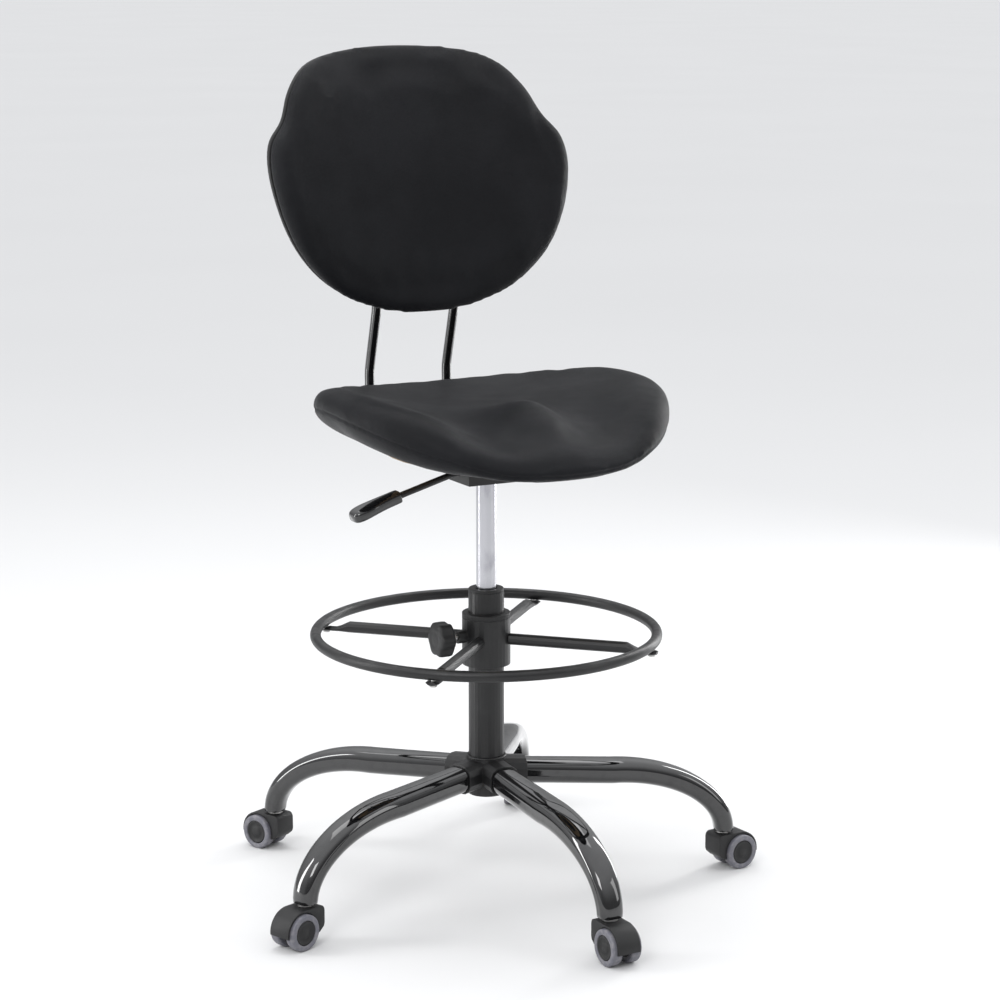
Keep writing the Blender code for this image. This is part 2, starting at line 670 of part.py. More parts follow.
def ring_shape():
    bpy.ops.mesh.primitive_torus_add(
        major_radius=RING_RADIUS, minor_radius=RING_TUBE, major_segments=48, minor_segments=10
    )
    torus = bpy.context.active_object
    mesh = torus.data
    bpy.data.objects.remove(torus)
    moved(mesh, Matrix.Translation((0, 0, RING_Z)))
    holes = []
    for angle in spoke_angles():
        hole = rod(SCREW_RADIUS + GAP, RING_Z - 0.02, RING_Z - SCREW_TIP + GAP, COARSE)
        holes.append(moved(hole, Matrix.Translation(outward_from_column(angle) * RING_RADIUS)))
    return cut(mesh, *holes)


def screw_shape():
    """A domed screw that comes up from below, through the flattened spoke into the ring."""
    under = flat_level() - SPOKE_FLAT / 2 - GAP
    tip = RING_Z - SCREW_TIP
    profile = [(0, tip), (SCREW_RADIUS, tip), (SCREW_RADIUS, under)]
    profile += [(SCREW_HEAD, under), (SCREW_HEAD * 0.8, under - SCREW_DOME * 0.7)]
    return turned(profile + [(0, under - SCREW_DOME)], COARSE)


def knob_shape():
    """A lobed knob moulded round its stud; both lie along X, from the column outwards to -X."""
    points = []
    for i in range(6 * KNOB_LOBES):
        angle = 2 * math.pi * i / (6 * KNOB_LOBES)
        radius = KNOB_RADIUS + KNOB_LOBE * math.cos(KNOB_LOBES * angle)
        points.append((radius * math.cos(angle), radius * math.sin(angle)))
    stations = ((0, 0.90), (0.15, 1.0), (0.80, 1.0), (1.0, 0.86))
    rings = []
    for share, scale in stations:
        height = KNOB_START + KNOB_LENGTH * share
        rings.append([Vector((x * scale, y * scale, height)) for x, y in points])
    tip = TUBE_RADIUS + GAP + PAD_LENGTH + GAP
    stud = rod(STUD_RADIUS, tip, KNOB_START + 0.006, COARSE)
    neck_profile = [(0, KNOB_START + 0.003), (0.012, KNOB_START + 0.003), (0.008, KNOB_START - 0.004)]
    neck = turned(neck_profile + [(0, KNOB_START - 0.004)], COARSE)
    knob = fused(loft(rings), neck, stud)
    return along_x(knob)


def build_foot_ring(root):
    height_set = empty("foot_ring_height", (0, 0, 0), root)
    part("collar_cap", cap_shape(), MATTE_BLACK, height_set)
    turn = empty("foot_ring_turn", (0, 0, 0), height_set)
    part("collar", collar_shape(), SATIN_BLACK, turn)
    part("foot_ring", ring_shape(), SATIN_BLACK, turn)
    spoke = spoke_shape()
    screw = screw_shape()
    for number, angle in enumerate(spoke_angles(), start=1):
        part(f"spoke_{number}", spoke, SATIN_BLACK, turn, rotation=(0, 0, angle))
        part(f"ring_screw_{number}", screw, STEEL, turn, outward_from_column(angle) * RING_RADIUS)
    clamp = empty("clamp_axis", (0, 0, CLAMP_Z), turn)
    pad_near = TUBE_RADIUS + GAP
    pad = along_x(rod(PAD_RADIUS, pad_near, pad_near + PAD_LENGTH, MEDIUM))
    part("clamp_pad", pad, MATTE_BLACK, clamp)
    part("clamp_knob", knob_shape(), MATTE_BLACK, clamp)


# ---------------------------------------------------------------- seat
SEAT_MIDDLE = (SEAT_FRONT + SEAT_REAR) / 2
SEAT_HALF_DEPTH = (SEAT_REAR - SEAT_FRONT) / 2


def seat_outline(scale, sides):
    """The seat seen from above, shrunk towards its middle."""
    points = []
    for i in range(sides):
        angle = 2 * math.pi * (i + 0.5) / sides
        u, v = rounded(angle, SEAT_FRONT_POWER if math.sin(angle) < 0 else SEAT_REAR_POWER)
        points.append((u * scale * SEAT_WIDTH / 2, SEAT_MIDDLE + v * scale * SEAT_HALF_DEPTH))
    return points


def seat_top(x, y):
    """Height of the sitting surface: dished, with a ridge between two thigh hollows."""
    side = abs(x) / (SEAT_WIDTH / 2)
    height = SEAT_HEIGHT + BOLSTER_RISE * side * side
    ridge = math.exp(-((x / POMMEL_WIDTH) ** 2) - ((y - POMMEL_Y) / POMMEL_LENGTH) ** 2)
    off_x, off_y = abs(x) - THIGH_X, y - THIGH_Y
    hollow = math.exp(-((off_x / THIGH_WIDTH) ** 2) - (off_y / THIGH_LENGTH) ** 2)
    height += POMMEL_RISE * ridge - THIGH_DIP * hollow
    height += REAR_RISE * between(y, RISE_START, SEAT_REAR) ** 2 * (1 - side ** 2)
    return height - FRONT_FALL * between(y, ROLL_START, SEAT_FRONT) ** 2


def seat_rim(x, y):
    """Height of the rim's lower edge, high at the two sides and lowest at the front lip."""
    side = abs(x) / (SEAT_WIDTH / 2)
    lift = RIM_LIFT * side ** 4 + RIM_REAR_LIFT * between(y, RIM_LIFT_START, RIM_LIFT_END)
    return RIM_LOW + lift - NOSE_DROP * between(y, NOSE_START, SEAT_FRONT)


def seat_cushion_shape():
    sides = 36
    edge = 0.86
    levels = [(edge, 0.0)]
    for degrees in (-60, -30, 0, 30, 60):
        angle = math.radians(degrees)
        levels.append((edge + (1 - edge) * math.cos(angle), 0.5 + 0.5 * math.sin(angle)))
    levels += [(edge, 1.0), (0.68, 1.0), (0.50, 1.0), (0.32, 1.0), (0.14, 1.0)]
    rings = [[Vector((x, y, SEAT_UNDERSIDE)) for x, y in seat_outline(FLAT_SHARE, sides)]]
    for scale, share in levels:
        points = []
        for x, y in seat_outline(scale, sides):
            low, high = seat_rim(x, y), seat_top(x, y)
            points.append(Vector((x, y, low + (high - low) * share)))
        rings.append(points)
    return loft(rings)


def board_shape():
    top = SEAT_UNDERSIDE - GAP
    outline = seat_outline(FLAT_SHARE - BOARD_MARGIN / (SEAT_WIDTH / 2), 36)
    heights = (top - BOARD_THICKNESS, top)
    return loft([[Vector((x, y, z)) for x, y in outline] for z in heights])


def plate_top():
    return SEAT_UNDERSIDE - GAP - BOARD_THICKNESS - GAP


def mechanism_shape():
    """A pressed tray under the board: a flanged box with a sleeve that the cylinder plugs into."""
    top = plate_top()
    under = top - PLATE_THICKNESS
    half_x, half_y = HOUSING_WIDTH / 2, HOUSING_DEPTH / 2
    plate = block((-PLATE_WIDTH / 2, -PLATE_DEPTH / 2, under), (PLATE_WIDTH / 2, PLATE_DEPTH / 2, top))
    housing = block((-half_x, -half_y, HOUSING_BOTTOM), (half_x, half_y, under + 0.001))
    inside_x, inside_y = half_x - HOUSING_WALL, half_y - HOUSING_WALL
    floor = HOUSING_BOTTOM + HOUSING_WALL
    cavity = block((-inside_x, -inside_y, floor), (inside_x, inside_y, top + BEYOND))
    wide = CYLINDER_RADIUS + GAP
    sleeve_top = CYLINDER_TOP - SLEEVE_SHORT
    sleeve_round = rod(wide + HOUSING_WALL, HOUSING_BOTTOM + 0.001, sleeve_top, FINE)
    below = HOUSING_BOTTOM - BEYOND
    socket_profile = [(0, sleeve_top + BEYOND), (wide - CYLINDER_TAPER, sleeve_top + BEYOND)]
    socket = turned(socket_profile + [(wide, HOUSING_BOTTOM), (wide, below), (0, below)], FINE)
    slant = math.tan(math.radians(LEVER_ANGLE))
    slot = along_x(rod(LEVER_RADIUS + LEVER_ROOM, inside_x - BEYOND, half_x + BEYOND, MEDIUM))
    moved(slot, Matrix.Translation((0, 0, LEVER_AXIS_Z - slant * half_x)))
    tray = cut(fused(plate, housing), cavity)
    return cut(fused(tray, sleeve_round), socket, slot)


def build_seat(lift):
    part("seat_cushion", seat_cushion_shape(), LEATHER, lift)
    part("seat_board", board_shape(), PLYWOOD, lift)
    part("lift_mechanism", mechanism_shape(), SATIN_BLACK, lift)


def build_lever(lift):
    """The lever's own X axis lies along its rod, and its origin is on the pivot."""
    slant = math.tan(math.radians(LEVER_ANGLE))
    pivot = (LEVER_PIVOT_X, 0, LEVER_AXIS_Z + slant * LEVER_PIVOT_X)
    tilt = (0, -math.radians(LEVER_ANGLE), 0)
    bar = along_x(rod(LEVER_RADIUS, -LEVER_INNER, LEVER_LENGTH, COARSE))
    part("lever_rod", bar, SATIN_BLACK, lift, pivot, tilt)
    length = HANDLE_END - HANDLE_START
    stations = (                      # share of the length, share of the width, of the thickness
        (0.0, 0.60, 0.90),
        (0.05, 0.66, 1.0),
        (0.30, 0.72, 1.0),
        (0.60, 0.92, 1.0),
        (0.80, 1.0, 1.0),
        (0.94, 0.86, 0.88),
        (1.0, 0.56, 0.55),
    )
    rings = []
    for share, wide, thick in stations:
        centre = (-HANDLE_START - length * share, 0, -HANDLE_DROOP * share ** 2)
        width, depth = HANDLE_WIDTH * wide, HANDLE_THICKNESS * thick
        rings.append(section(centre, (0, 1, 0), (0, 0, 1), width, depth, power=HANDLE_POWER))
    bore = along_x(rod(LEVER_RADIUS + GAP, HANDLE_START - BEYOND, LEVER_LENGTH + GAP, COARSE))
    part("lever_handle", cut(loft(rings), bore), GLOSS_PLASTIC, lift, pivot, tilt)


# ---------------------------------------------------------------- back
def smooth_outline(points, steps):
    """Catmull-Rom curve through half an outline whose ends lie on the mirror line."""
    first = (-points[1][0], points[1][1])
    last = (-points[-2][0], points[-2][1])
    chain = [Vector(point) for point in (first, *points, last)]
    curve = []
    for a, b, c, d in zip(chain, chain[1:], chain[2:], chain[3:]):
        for i in range(steps):
            t = i / steps
            even = 2 * b + (c - a) * t + (2 * a - 5 * b + 4 * c - d) * t * t
            curve.append((even + (3 * b - a - 3 * c + d) * t ** 3) / 2)
    curve.append(chain[-2])
    return curve


def back_outline():
    right = smooth_outline(BACK_OUTLINE, 2)
    left = [Vector((-point.x, point.y)) for point in reversed(right[1:-1])]
    return right + left


def back_lean(z):
    """How far the back stands behind its middle at this height."""
    height = z - BACK_CENTRE_Z
    return BACK_TILT * height + BACK_CURL * height ** 2 + BACK_TOP_CURL * height ** 3


def back_ring(scale, share=0.0, depth=0.0):
    """The outline shrunk by scale.  Share 0 lies on the pad's rear face and share 1 on
    its dished front face; depth moves the ring further back."""
    widest = max(x for x, _ in BACK_OUTLINE)
    points = []
    for point in back_outline():
        x = point.x * scale
        z = BACK_CENTRE_Z + (point.y - BACK_CENTRE_Z) * scale
        front = BACK_FRONT_Y - BACK_DISH * (x / widest) ** 2
        y = BACK_PAD_REAR_Y + (front - BACK_PAD_REAR_Y) * share + depth + back_lean(z)
        points.append(Vector((x, y, z)))
    return points


def back_pad_shape():
    edge = 0.90
    rings = [back_ring(0.5), back_ring(edge)]
    for degrees in (-50, 0, 50):
        angle = math.radians(degrees)
        rings.append(back_ring(edge + (1 - edge) * math.cos(angle), 0.5 + 0.5 * math.sin(angle)))
    rings += [back_ring(scale, 1.0) for scale in (edge, 0.6, 0.3)]
    return loft(rings)


def back_shell_shape():
    """A thin domed cover behind the pad, open towards it, with two holes for the posts."""
    deep = BACK_SHELL_DEPTH
    outer = ((0.975, GAP), (0.965, 0.2 * deep), (0.90, 0.55 * deep), (0.76, 0.85 * deep), (0.4, deep))
    inner = [(scale - 0.016, max(GAP, depth - SHELL_WALL)) for scale, depth in outer]
    rings = [back_ring(scale, depth=depth) for scale, depth in reversed(outer)]
    rings += [back_ring(scale, depth=depth) for scale, depth in inner]
    holes = [tube_along(post_route(side), POST_RADIUS + 2 * GAP) for side in (-1, 1)]
    return cut(loft(rings), *holes)


def post_route(side):
    """Centre line of one post: back under the seat, up behind it, and into the back."""
    x = side * POST_SPACING / 2
    low = plate_top() - PLATE_THICKNESS - GAP - POST_RADIUS
    route = [Vector((x, POST_FRONT_Y, low))]
    for degrees in range(0, 91, 18):
        turn = math.radians(degrees)
        y = POST_UP_Y - POST_BEND + POST_BEND * math.sin(turn)
        route.append(Vector((x, y, low + POST_BEND - POST_BEND * math.cos(turn))))
    route += [Vector((x, POST_UP_Y, POST_KINK_Z - 0.010))]
    route += [Vector((x, POST_UP_Y - 0.002, POST_KINK_Z + 0.004))]
    route += [Vector((x, POST_LEAN_Y + 0.003, POST_LEAN_Z - 0.010))]
    route += [Vector((x, POST_LEAN_Y, POST_LEAN_Z + 0.012))]
    route += [Vector((x, POST_INNER_Y, POST_INNER_Z))]
    return route + [Vector((x, POST_INNER_Y, POST_TOP))]


def tube_along(route, radius):
    """A round bar along a row of points, made as a curve with filled ends."""
    data = bpy.data.curves.new("route", "CURVE")
    data.dimensions = "3D"
    data.bevel_depth = radius
    data.bevel_resolution = 2
    data.use_fill_caps = True
    spline = data.splines.new("POLY")
    spline.points.add(len(route) - 1)
    for point, place in zip(spline.points, route):
        point.co = (*place, 1.0)
    return evaluated(on_bench(data))


def build_back(lift):
    for name, side in (("right", -1), ("left", 1)):
        part("back_post_" + name, tube_along(post_route(side), POST_RADIUS), GLOSS_BLACK, lift)
    part("back_cushion", back_pad_shape(), LEATHER, lift)
    part("back_shell", back_shell_shape(), MATTE_BLACK, lift)


# ---------------------------------------------------------------- assembly
def footprint_middle():
    """Middle of the box round every piece, seen from above."""
    bpy.context.view_layer.update()
    corners = []
    for piece in chair.objects:
        if piece.type == "MESH":
            corners += [piece.matrix_world @ vertex.co for vertex in piece.data.vertices]
    xs = [corner.x for corner in corners]
    ys = [corner.y for corner in corners]
    return (min(xs) + max(xs)) / 2, (min(ys) + max(ys)) / 2


root = empty("chair_root")
build_base(root)
build_casters(root)
build_column(root)
swivel = empty("seat_swivel", (0, 0, 0), root)
build_piston_rod(swivel)
lift = empty("seat_lift", (0, 0, 0), swivel)
build_gas_cylinder(lift)
build_foot_ring(root)
build_seat(lift)
build_lever(lift)
build_back(lift)
bpy.data.collections.remove(bench)

middle_x, middle_y = footprint_middle()
root.location = (-middle_x, -middle_y, 0)
bpy.context.view_layer.update()
print("column axis at", round(-middle_x, 6), round(-middle_y, 6))
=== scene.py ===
# %% [markdown]
# A drafting chair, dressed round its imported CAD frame.
#
# The frame is a fixed set of steel, plastic and foam solids that sit on moving bodies.  This
# lesson gives each of them the surface that the real chair has.  Parts whose shape is right
# stay and get a finish.  Parts that are softer or rounder than the frame can say, such as the
# two cushions, the five arched legs and the wheels, are built again here and ride on the same
# bodies.

# %% Load the frame
import math

import bmesh
import bpy
from mathutils import Matrix, Vector


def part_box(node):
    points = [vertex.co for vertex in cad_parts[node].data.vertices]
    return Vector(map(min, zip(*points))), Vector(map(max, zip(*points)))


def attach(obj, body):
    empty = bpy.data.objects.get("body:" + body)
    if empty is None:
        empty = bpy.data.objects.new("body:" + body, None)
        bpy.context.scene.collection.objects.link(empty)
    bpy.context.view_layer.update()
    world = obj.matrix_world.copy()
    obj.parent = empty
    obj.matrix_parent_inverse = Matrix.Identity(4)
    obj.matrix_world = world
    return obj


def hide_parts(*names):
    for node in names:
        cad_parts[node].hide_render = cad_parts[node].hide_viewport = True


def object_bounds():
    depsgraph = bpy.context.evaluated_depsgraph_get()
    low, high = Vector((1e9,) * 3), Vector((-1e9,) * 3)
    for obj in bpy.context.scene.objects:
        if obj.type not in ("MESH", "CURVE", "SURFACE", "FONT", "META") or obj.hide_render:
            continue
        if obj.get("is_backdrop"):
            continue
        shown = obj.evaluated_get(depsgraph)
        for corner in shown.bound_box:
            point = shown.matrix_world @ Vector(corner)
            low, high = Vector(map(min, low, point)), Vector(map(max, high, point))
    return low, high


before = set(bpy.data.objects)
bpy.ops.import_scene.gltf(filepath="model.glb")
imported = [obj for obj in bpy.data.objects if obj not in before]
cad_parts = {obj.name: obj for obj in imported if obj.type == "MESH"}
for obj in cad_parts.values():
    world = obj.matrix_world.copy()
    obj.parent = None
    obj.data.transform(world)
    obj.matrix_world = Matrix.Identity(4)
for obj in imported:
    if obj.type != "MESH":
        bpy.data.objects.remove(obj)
frame_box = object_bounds()
low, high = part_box("stand_tube")
COLUMN = Vector(((low.x + high.x) / 2, (low.y + high.y) / 2, 0.0))
print("frame box", [round(side, 4) for side in frame_box[1] - frame_box[0]])
print("column axis", COLUMN)

# %% [markdown]
# A shader is a small calculation that runs at each point of a surface.  Written as nodes it
# is a web of boxes; written as sums it is one line.  Wire wraps a node's output so that
# Python's own + - * / build the Math nodes, and Finish is one material that hands out wires.

# %% Shader sums
class Wire:
    """A number that changes over the surface."""

    def __init__(self, finish, socket):
        self.finish = finish
        self.socket = socket

    def maths(self, operation, first, second):
        made = self.finish.node("ShaderNodeMath", {"operation": operation}, {0: first, 1: second})
        return Wire(self.finish, made.outputs[0])

    def __add__(self, other):
        return self.maths("ADD", self, other)

    def __sub__(self, other):
        return self.maths("SUBTRACT", self, other)

    def __rsub__(self, other):
        return self.maths("SUBTRACT", other, self)

    def __mul__(self, other):
        return self.maths("MULTIPLY", self, other)

    def __truediv__(self, other):
        return self.maths("DIVIDE", self, other)

    def __pow__(self, other):
        return self.maths("POWER", self, other)

    __radd__ = __add__
    __rmul__ = __mul__

    def above(self, low, high):
        """0 below low, 1 above high and a soft step between them."""
        made = self.finish.node(
            "ShaderNodeMapRange",
            {"interpolation_type": "SMOOTHSTEP"},
            {"Value": self, "From Min": low, "From Max": high},
        )
        return Wire(self.finish, made.outputs[0])

    def near(self, middle, reach):
        """1 where the value is middle, falling to 0 at reach on either side."""
        gap = self - middle
        return 1 - self.maths("ABSOLUTE", gap, 0.0).above(0.0, reach)


# %% One material
class Finish:
    """A web of nodes; fixed names and numbers go straight on its shader's sockets."""

    def __init__(self, name, place="Object", owner=None, shader="Principled BSDF", **fixed):
        self.material = owner or bpy.data.materials.new(name)
        self.material.use_nodes = True
        self.tree = self.material.node_tree
        self.shader = self.tree.nodes[shader]
        self.place = self.node("ShaderNodeTexCoord").outputs[place]
        for socket, value in fixed.items():
            self.feed(self.shader.inputs[socket.replace("_", " ")], value)

    def feed(self, socket, value):
        if isinstance(value, Wire):
            value = value.socket
        if isinstance(value, bpy.types.NodeSocket):
            self.tree.links.new(value, socket)
        elif socket.type == "RGBA":
            socket.default_value = (*value, 1.0)
        else:
            socket.default_value = value

    def node(self, kind, settings=None, inputs=None):
        made = self.tree.nodes.new(kind)
        for setting, value in (settings or {}).items():
            setattr(made, setting, value)
        for socket, value in (inputs or {}).items():
            self.feed(made.inputs[socket], value)
        return made

    def stretched(self, scale):
        """The surface's own place, stretched: (1, 1, 0.1) makes streaks along Z."""
        made = self.node(
            "ShaderNodeVectorMath", {"operation": "MULTIPLY"}, {0: self.place, 1: scale}
        )
        return made.outputs[0]

    def noise(self, size, detail=3.0, stretch=(1.0, 1.0, 1.0)):
        """Soft noise from 0 to 1, whose blotches are about size metres across."""
        inputs = {"Vector": self.stretched(stretch), "Scale": 1.0 / size, "Detail": detail}
        return Wire(self, self.node("ShaderNodeTexNoise", None, inputs).outputs["Fac"])

    def cells(self, size, feature="F1"):
        """Distance to the middle, or to the border, of cells about size metres across."""
        inputs = {"Vector": self.place, "Scale": 1.0 / size}
        made = self.node("ShaderNodeTexVoronoi", {"feature": feature}, inputs)
        return Wire(self, made.outputs["Distance"])

    def axis(self, letter):
        made = self.node("ShaderNodeSeparateXYZ", None, {"Vector": self.place})
        return Wire(self, made.outputs[letter])

    def mix(self, factor, first, second):
        """A colour between two colours."""
        made = self.node("ShaderNodeMix", {"data_type": "RGBA"}, {"Factor": factor, 6: first, 7: second})
        return made.outputs[2]

    def bump(self, height, depth, strength=1.0, under=None):
        """A relief whose full height is depth metres, laid over another relief."""
        inputs = {"Height": height, "Distance": depth, "Strength": strength}
        if under is not None:
            inputs["Normal"] = under
        return self.node("ShaderNodeBump", None, inputs).outputs["Normal"]

    def finish(self, **changing):
        for socket, value in changing.items():
            self.feed(self.shader.inputs[socket.replace("_", " ")], value)
        return self.material


# %% [markdown]
# The upholstery is a soft black imitation leather.  Close up it is a net of fine creases round
# pebbles of about a millimetre, which a Voronoi texture gives as the distance to the border
# of its cells.  Over that lie slow folds, and the high places are rubbed a little smoother.
# The colour is also painted darker along the creases between the pebbles: that is painted shade.

# %% Upholstery
leather = Finish("black_upholstery", Specular_IOR_Level=0.14)
pebble_and_crease_shade = leather.cells(0.0013, "DISTANCE_TO_EDGE").above(0.0, 0.22)
crease = leather.noise(0.016, 4.0)
rubbed = leather.noise(0.09, 2.0).above(0.35, 0.7)
grain = leather.bump(pebble_and_crease_shade, 0.00022, 0.7, leather.bump(crease, 0.0012, 0.35))
# The tone is a random rub of wear plus painted shade: darker in the creases between pebbles.
tone = leather.mix(rubbed * 0.6 + pebble_and_crease_shade * 0.4, (0.0042, 0.0045, 0.0058), (0.0084, 0.0088, 0.0108))
LEATHER = leather.finish(Base_Color=tone, Roughness=0.50 - rubbed * 0.07 - pebble_and_crease_shade * 0.06, Normal=grain)

# %% [markdown]
# The legs and the two back posts have a black mirror plating.  A mirror looks smooth, but a
# plated tube carries a faint waviness from its polishing and a film of dust in patches, and
# those are what make its streaks of light look drawn by hand and not ruled.

# %% Black plating
plating = Finish("gloss_black_plating", Specular_IOR_Level=0.6, Coat_Roughness=0.03)
wave = plating.noise(0.035, 1.0)
haze = plating.noise(0.012, 5.0).above(0.45, 0.8)
PLATING = plating.finish(
    Base_Color=plating.mix(haze, (0.0030, 0.0030, 0.0034), (0.0070, 0.0070, 0.0076)),
    Roughness=0.045 + haze * 0.05,
    Coat_Weight=0.95 - haze * 0.3,
    Normal=plating.bump(wave, 0.0006, 0.25),
)

# %% [markdown]
# The hub, the column, the collar and the foot ring are powder coated: plastic powder is melted
# on the steel, and it flows into a fine orange peel.  Shoes and hands polish it in patches.

# %% Powder coat
coat = Finish("satin_black_powder_coat", Specular_IOR_Level=0.5)
peel = coat.noise(0.0018, 2.0)
worn = coat.noise(0.045, 4.0).above(0.5, 0.75)
POWDER = coat.finish(
    Base_Color=coat.mix(worn, (0.0070, 0.0070, 0.0075), (0.0120, 0.0120, 0.0126)),
    Roughness=0.40 - worn * 0.09 + peel * 0.05,
    Normal=coat.bump(peel, 0.00022, 0.8),
)

# %% [markdown]
# The foot ring gets the same coat with the marks of soles: along its top the satin turns
# glossy and a little grey, which is a mask by the height within the tube.

# %% Powder coat worn by shoes
ring_middle = (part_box("foot_ring")[0].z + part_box("foot_ring")[1].z) / 2
scuffed = Finish("scuffed_powder_coat", Specular_IOR_Level=0.5)
peel = scuffed.noise(0.0018, 2.0)
sole = scuffed.axis("Z").above(ring_middle + 0.002, ring_middle + 0.008)
marks = sole * scuffed.noise(0.02, 6.0, (1.0, 1.0, 0.3)).above(0.42, 0.62)
SCUFFED = scuffed.finish(
    Base_Color=scuffed.mix(marks, (0.0070, 0.0070, 0.0075), (0.0200, 0.0197, 0.0193)),
    Roughness=0.40 - marks * 0.12 + peel * 0.05,
    Normal=scuffed.bump(peel, 0.00022, 0.8),
)

# %% [markdown]
# The gas cylinder is chromed steel.  It is honed, so it carries hair lines that run up it, and
# a thin film of grease is left where it dips into its bush.

# %% Chrome and zinc
chrome = Finish("chrome", Metallic=1.0)
hone = chrome.noise(0.0012, 2.0, (1.0, 1.0, 0.02))
film = chrome.noise(0.02, 3.0, (1.0, 1.0, 0.4)).above(0.5, 0.8)
CHROME = chrome.finish(
    Base_Color=chrome.mix(film, (0.52, 0.52, 0.55), (0.40, 0.40, 0.43)),
    Roughness=0.13 + hone * 0.05 + film * 0.08,
    Normal=chrome.bump(hone, 0.00006, 0.3),
)

zinc = Finish("zinc_steel", Metallic=1.0)
spangle = zinc.noise(0.004, 4.0)
ZINC = zinc.finish(
    Base_Color=zinc.mix(spangle, (0.46, 0.46, 0.47), (0.62, 0.61, 0.58)),
    Roughness=0.28 + spangle * 0.16,
    Normal=zinc.bump(zinc.noise(0.0010, 2.0), 0.00005, 0.6),
)

# %% [markdown]
# Caster hoods, the knob, the collar's cap and the back's shell are moulded nylon.  The mould is
# spark-eroded, so the plastic is covered by an even fine grain; corners that are touched go
# shinier.  The lever's handle comes from a polished mould and keeps only a slow ripple.

# %% Moulded plastics
nylon = Finish("black_nylon", Specular_IOR_Level=0.5)
spark = nylon.noise(0.0008, 3.0)
touched = nylon.noise(0.03, 3.0).above(0.5, 0.8)
NYLON = nylon.finish(
    Base_Color=nylon.mix(touched, (0.0065, 0.0065, 0.0070), (0.0110, 0.0110, 0.0118)),
    Roughness=0.50 - touched * 0.10 + spark * 0.06,
    Normal=nylon.bump(spark, 0.00018, 0.7),
)

polished = Finish("gloss_black_plastic", Specular_IOR_Level=0.6, Coat_Roughness=0.04)
ripple = polished.noise(0.012, 1.0)
smear = polished.noise(0.008, 5.0).above(0.5, 0.8)
POLISHED = polished.finish(
    Base_Color=polished.mix(smear, (0.0060, 0.0060, 0.0066), (0.0120, 0.0120, 0.0128)),
    Roughness=0.12 + smear * 0.14,
    Coat_Weight=0.6 - smear * 0.3,
    Normal=polished.bump(ripple, 0.0004, 0.3),
)

# %% [markdown]
# The wheels roll on a soft grey polyurethane.  It picks up dust and fibres along the middle of
# the tread, so the tread is browner and duller there than on its cheeks.

# %% Wheel tread
tyre = Finish("grey_polyurethane", Specular_IOR_Level=0.45)
dust = tyre.noise(0.006, 5.0).above(0.4, 0.7)
tooth = tyre.noise(0.0012, 2.0)
TYRE = tyre.finish(
    Base_Color=tyre.mix(dust, (0.135, 0.135, 0.160), (0.205, 0.200, 0.215)),
    Roughness=0.40 + dust * 0.16 + tooth * 0.06,
    Normal=tyre.bump(tooth, 0.00012, 0.6),
)

# %% [markdown]
# The seat's board is birch plywood.  Seen from below its face shows long grain; its edge shows
# the plies as bands that alternate between pale long grain and dark end grain.

# %% Plywood
birch = Finish("plywood", Specular_IOR_Level=0.3)
board_low, board_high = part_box("seat_board")
ply = (birch.axis("Z") - board_low.z) / (board_high.z - board_low.z) * 5.0
band = ply.maths("PINGPONG", ply, 1.0).above(0.35, 0.65)
figure = birch.noise(0.010, 5.0, (1.0, 0.08, 1.0))
fibre = birch.noise(0.0015, 3.0, (1.0, 0.04, 1.0))
shade = figure * 0.6 + fibre * 0.25 + band * 0.15
BIRCH = birch.finish(
    Base_Color=birch.mix(shade, (0.20, 0.125, 0.065), (0.47, 0.34, 0.20)),
    Roughness=0.58 + fibre * 0.2,
    Normal=birch.bump(fibre, 0.0003, 0.5),
)
print("finishes", len(bpy.data.materials))

# %% [markdown]
# Some CAD pieces already have the right shape and only need softer edges.  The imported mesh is
# split along its sharp edges, so a Weld modifier joins it again, and a Bevel rounds every real
# edge by a hair.  Modifiers leave the frame's own mesh alone.

# %% Dress the CAD pieces
def dress(node, finish, edge=0.0004):
    """Give a CAD node its finish and round its edges by edge metres."""
    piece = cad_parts[node]
    for slot in piece.material_slots:
        slot.material = finish
    weld = piece.modifiers.new("weld", "WELD")
    weld.merge_threshold = 1e-6
    bevel = piece.modifiers.new("edge", "BEVEL")
    bevel.width = edge
    bevel.segments = 2
    bevel.limit_method = "ANGLE"
    bevel.angle_limit = math.radians(40)
    bevel.harden_normals = False
    return piece


CASTERS = {
    "front": (0, -88),
    "left": (72, 5),
    "rear_left": (144, 60),
    "rear_right": (216, 115),
    "right": (288, 200),
}
for name in ("hub", "stand_tube", "collar", "lift_mechanism", "lever_rod"):
    dress(name, POWDER)
for number in range(1, 5):
    dress(f"spoke_{number}", SCUFFED)
    dress(f"ring_screw_{number}", ZINC, 0.0002)
for name in ("guide_bush", "collar_cap", "clamp_pad"):
    dress(name, NYLON)
for name in ("thrust_bearing", "piston_rod", "retaining_clip", "release_button"):
    dress(name, ZINC, 0.0002)
for name in CASTERS:
    dress(f"caster_{name}_stem", ZINC)
    dress(f"caster_{name}_axle", ZINC, 0.0002)
dress("gas_cylinder", CHROME, 0.0003)
dress("seat_board", BIRCH, 0.0006)
print("dressed nodes", sum(len(o.modifiers) == 2 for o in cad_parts.values()))

# %% [markdown]
# New pieces are skinned over rows of points.  Every loop has the same number of points, so two
# neighbouring loops are joined by quads; the first and last loop are capped.  Each piece's
# origin stands on the column's axis, so its textures and numbers read from there.

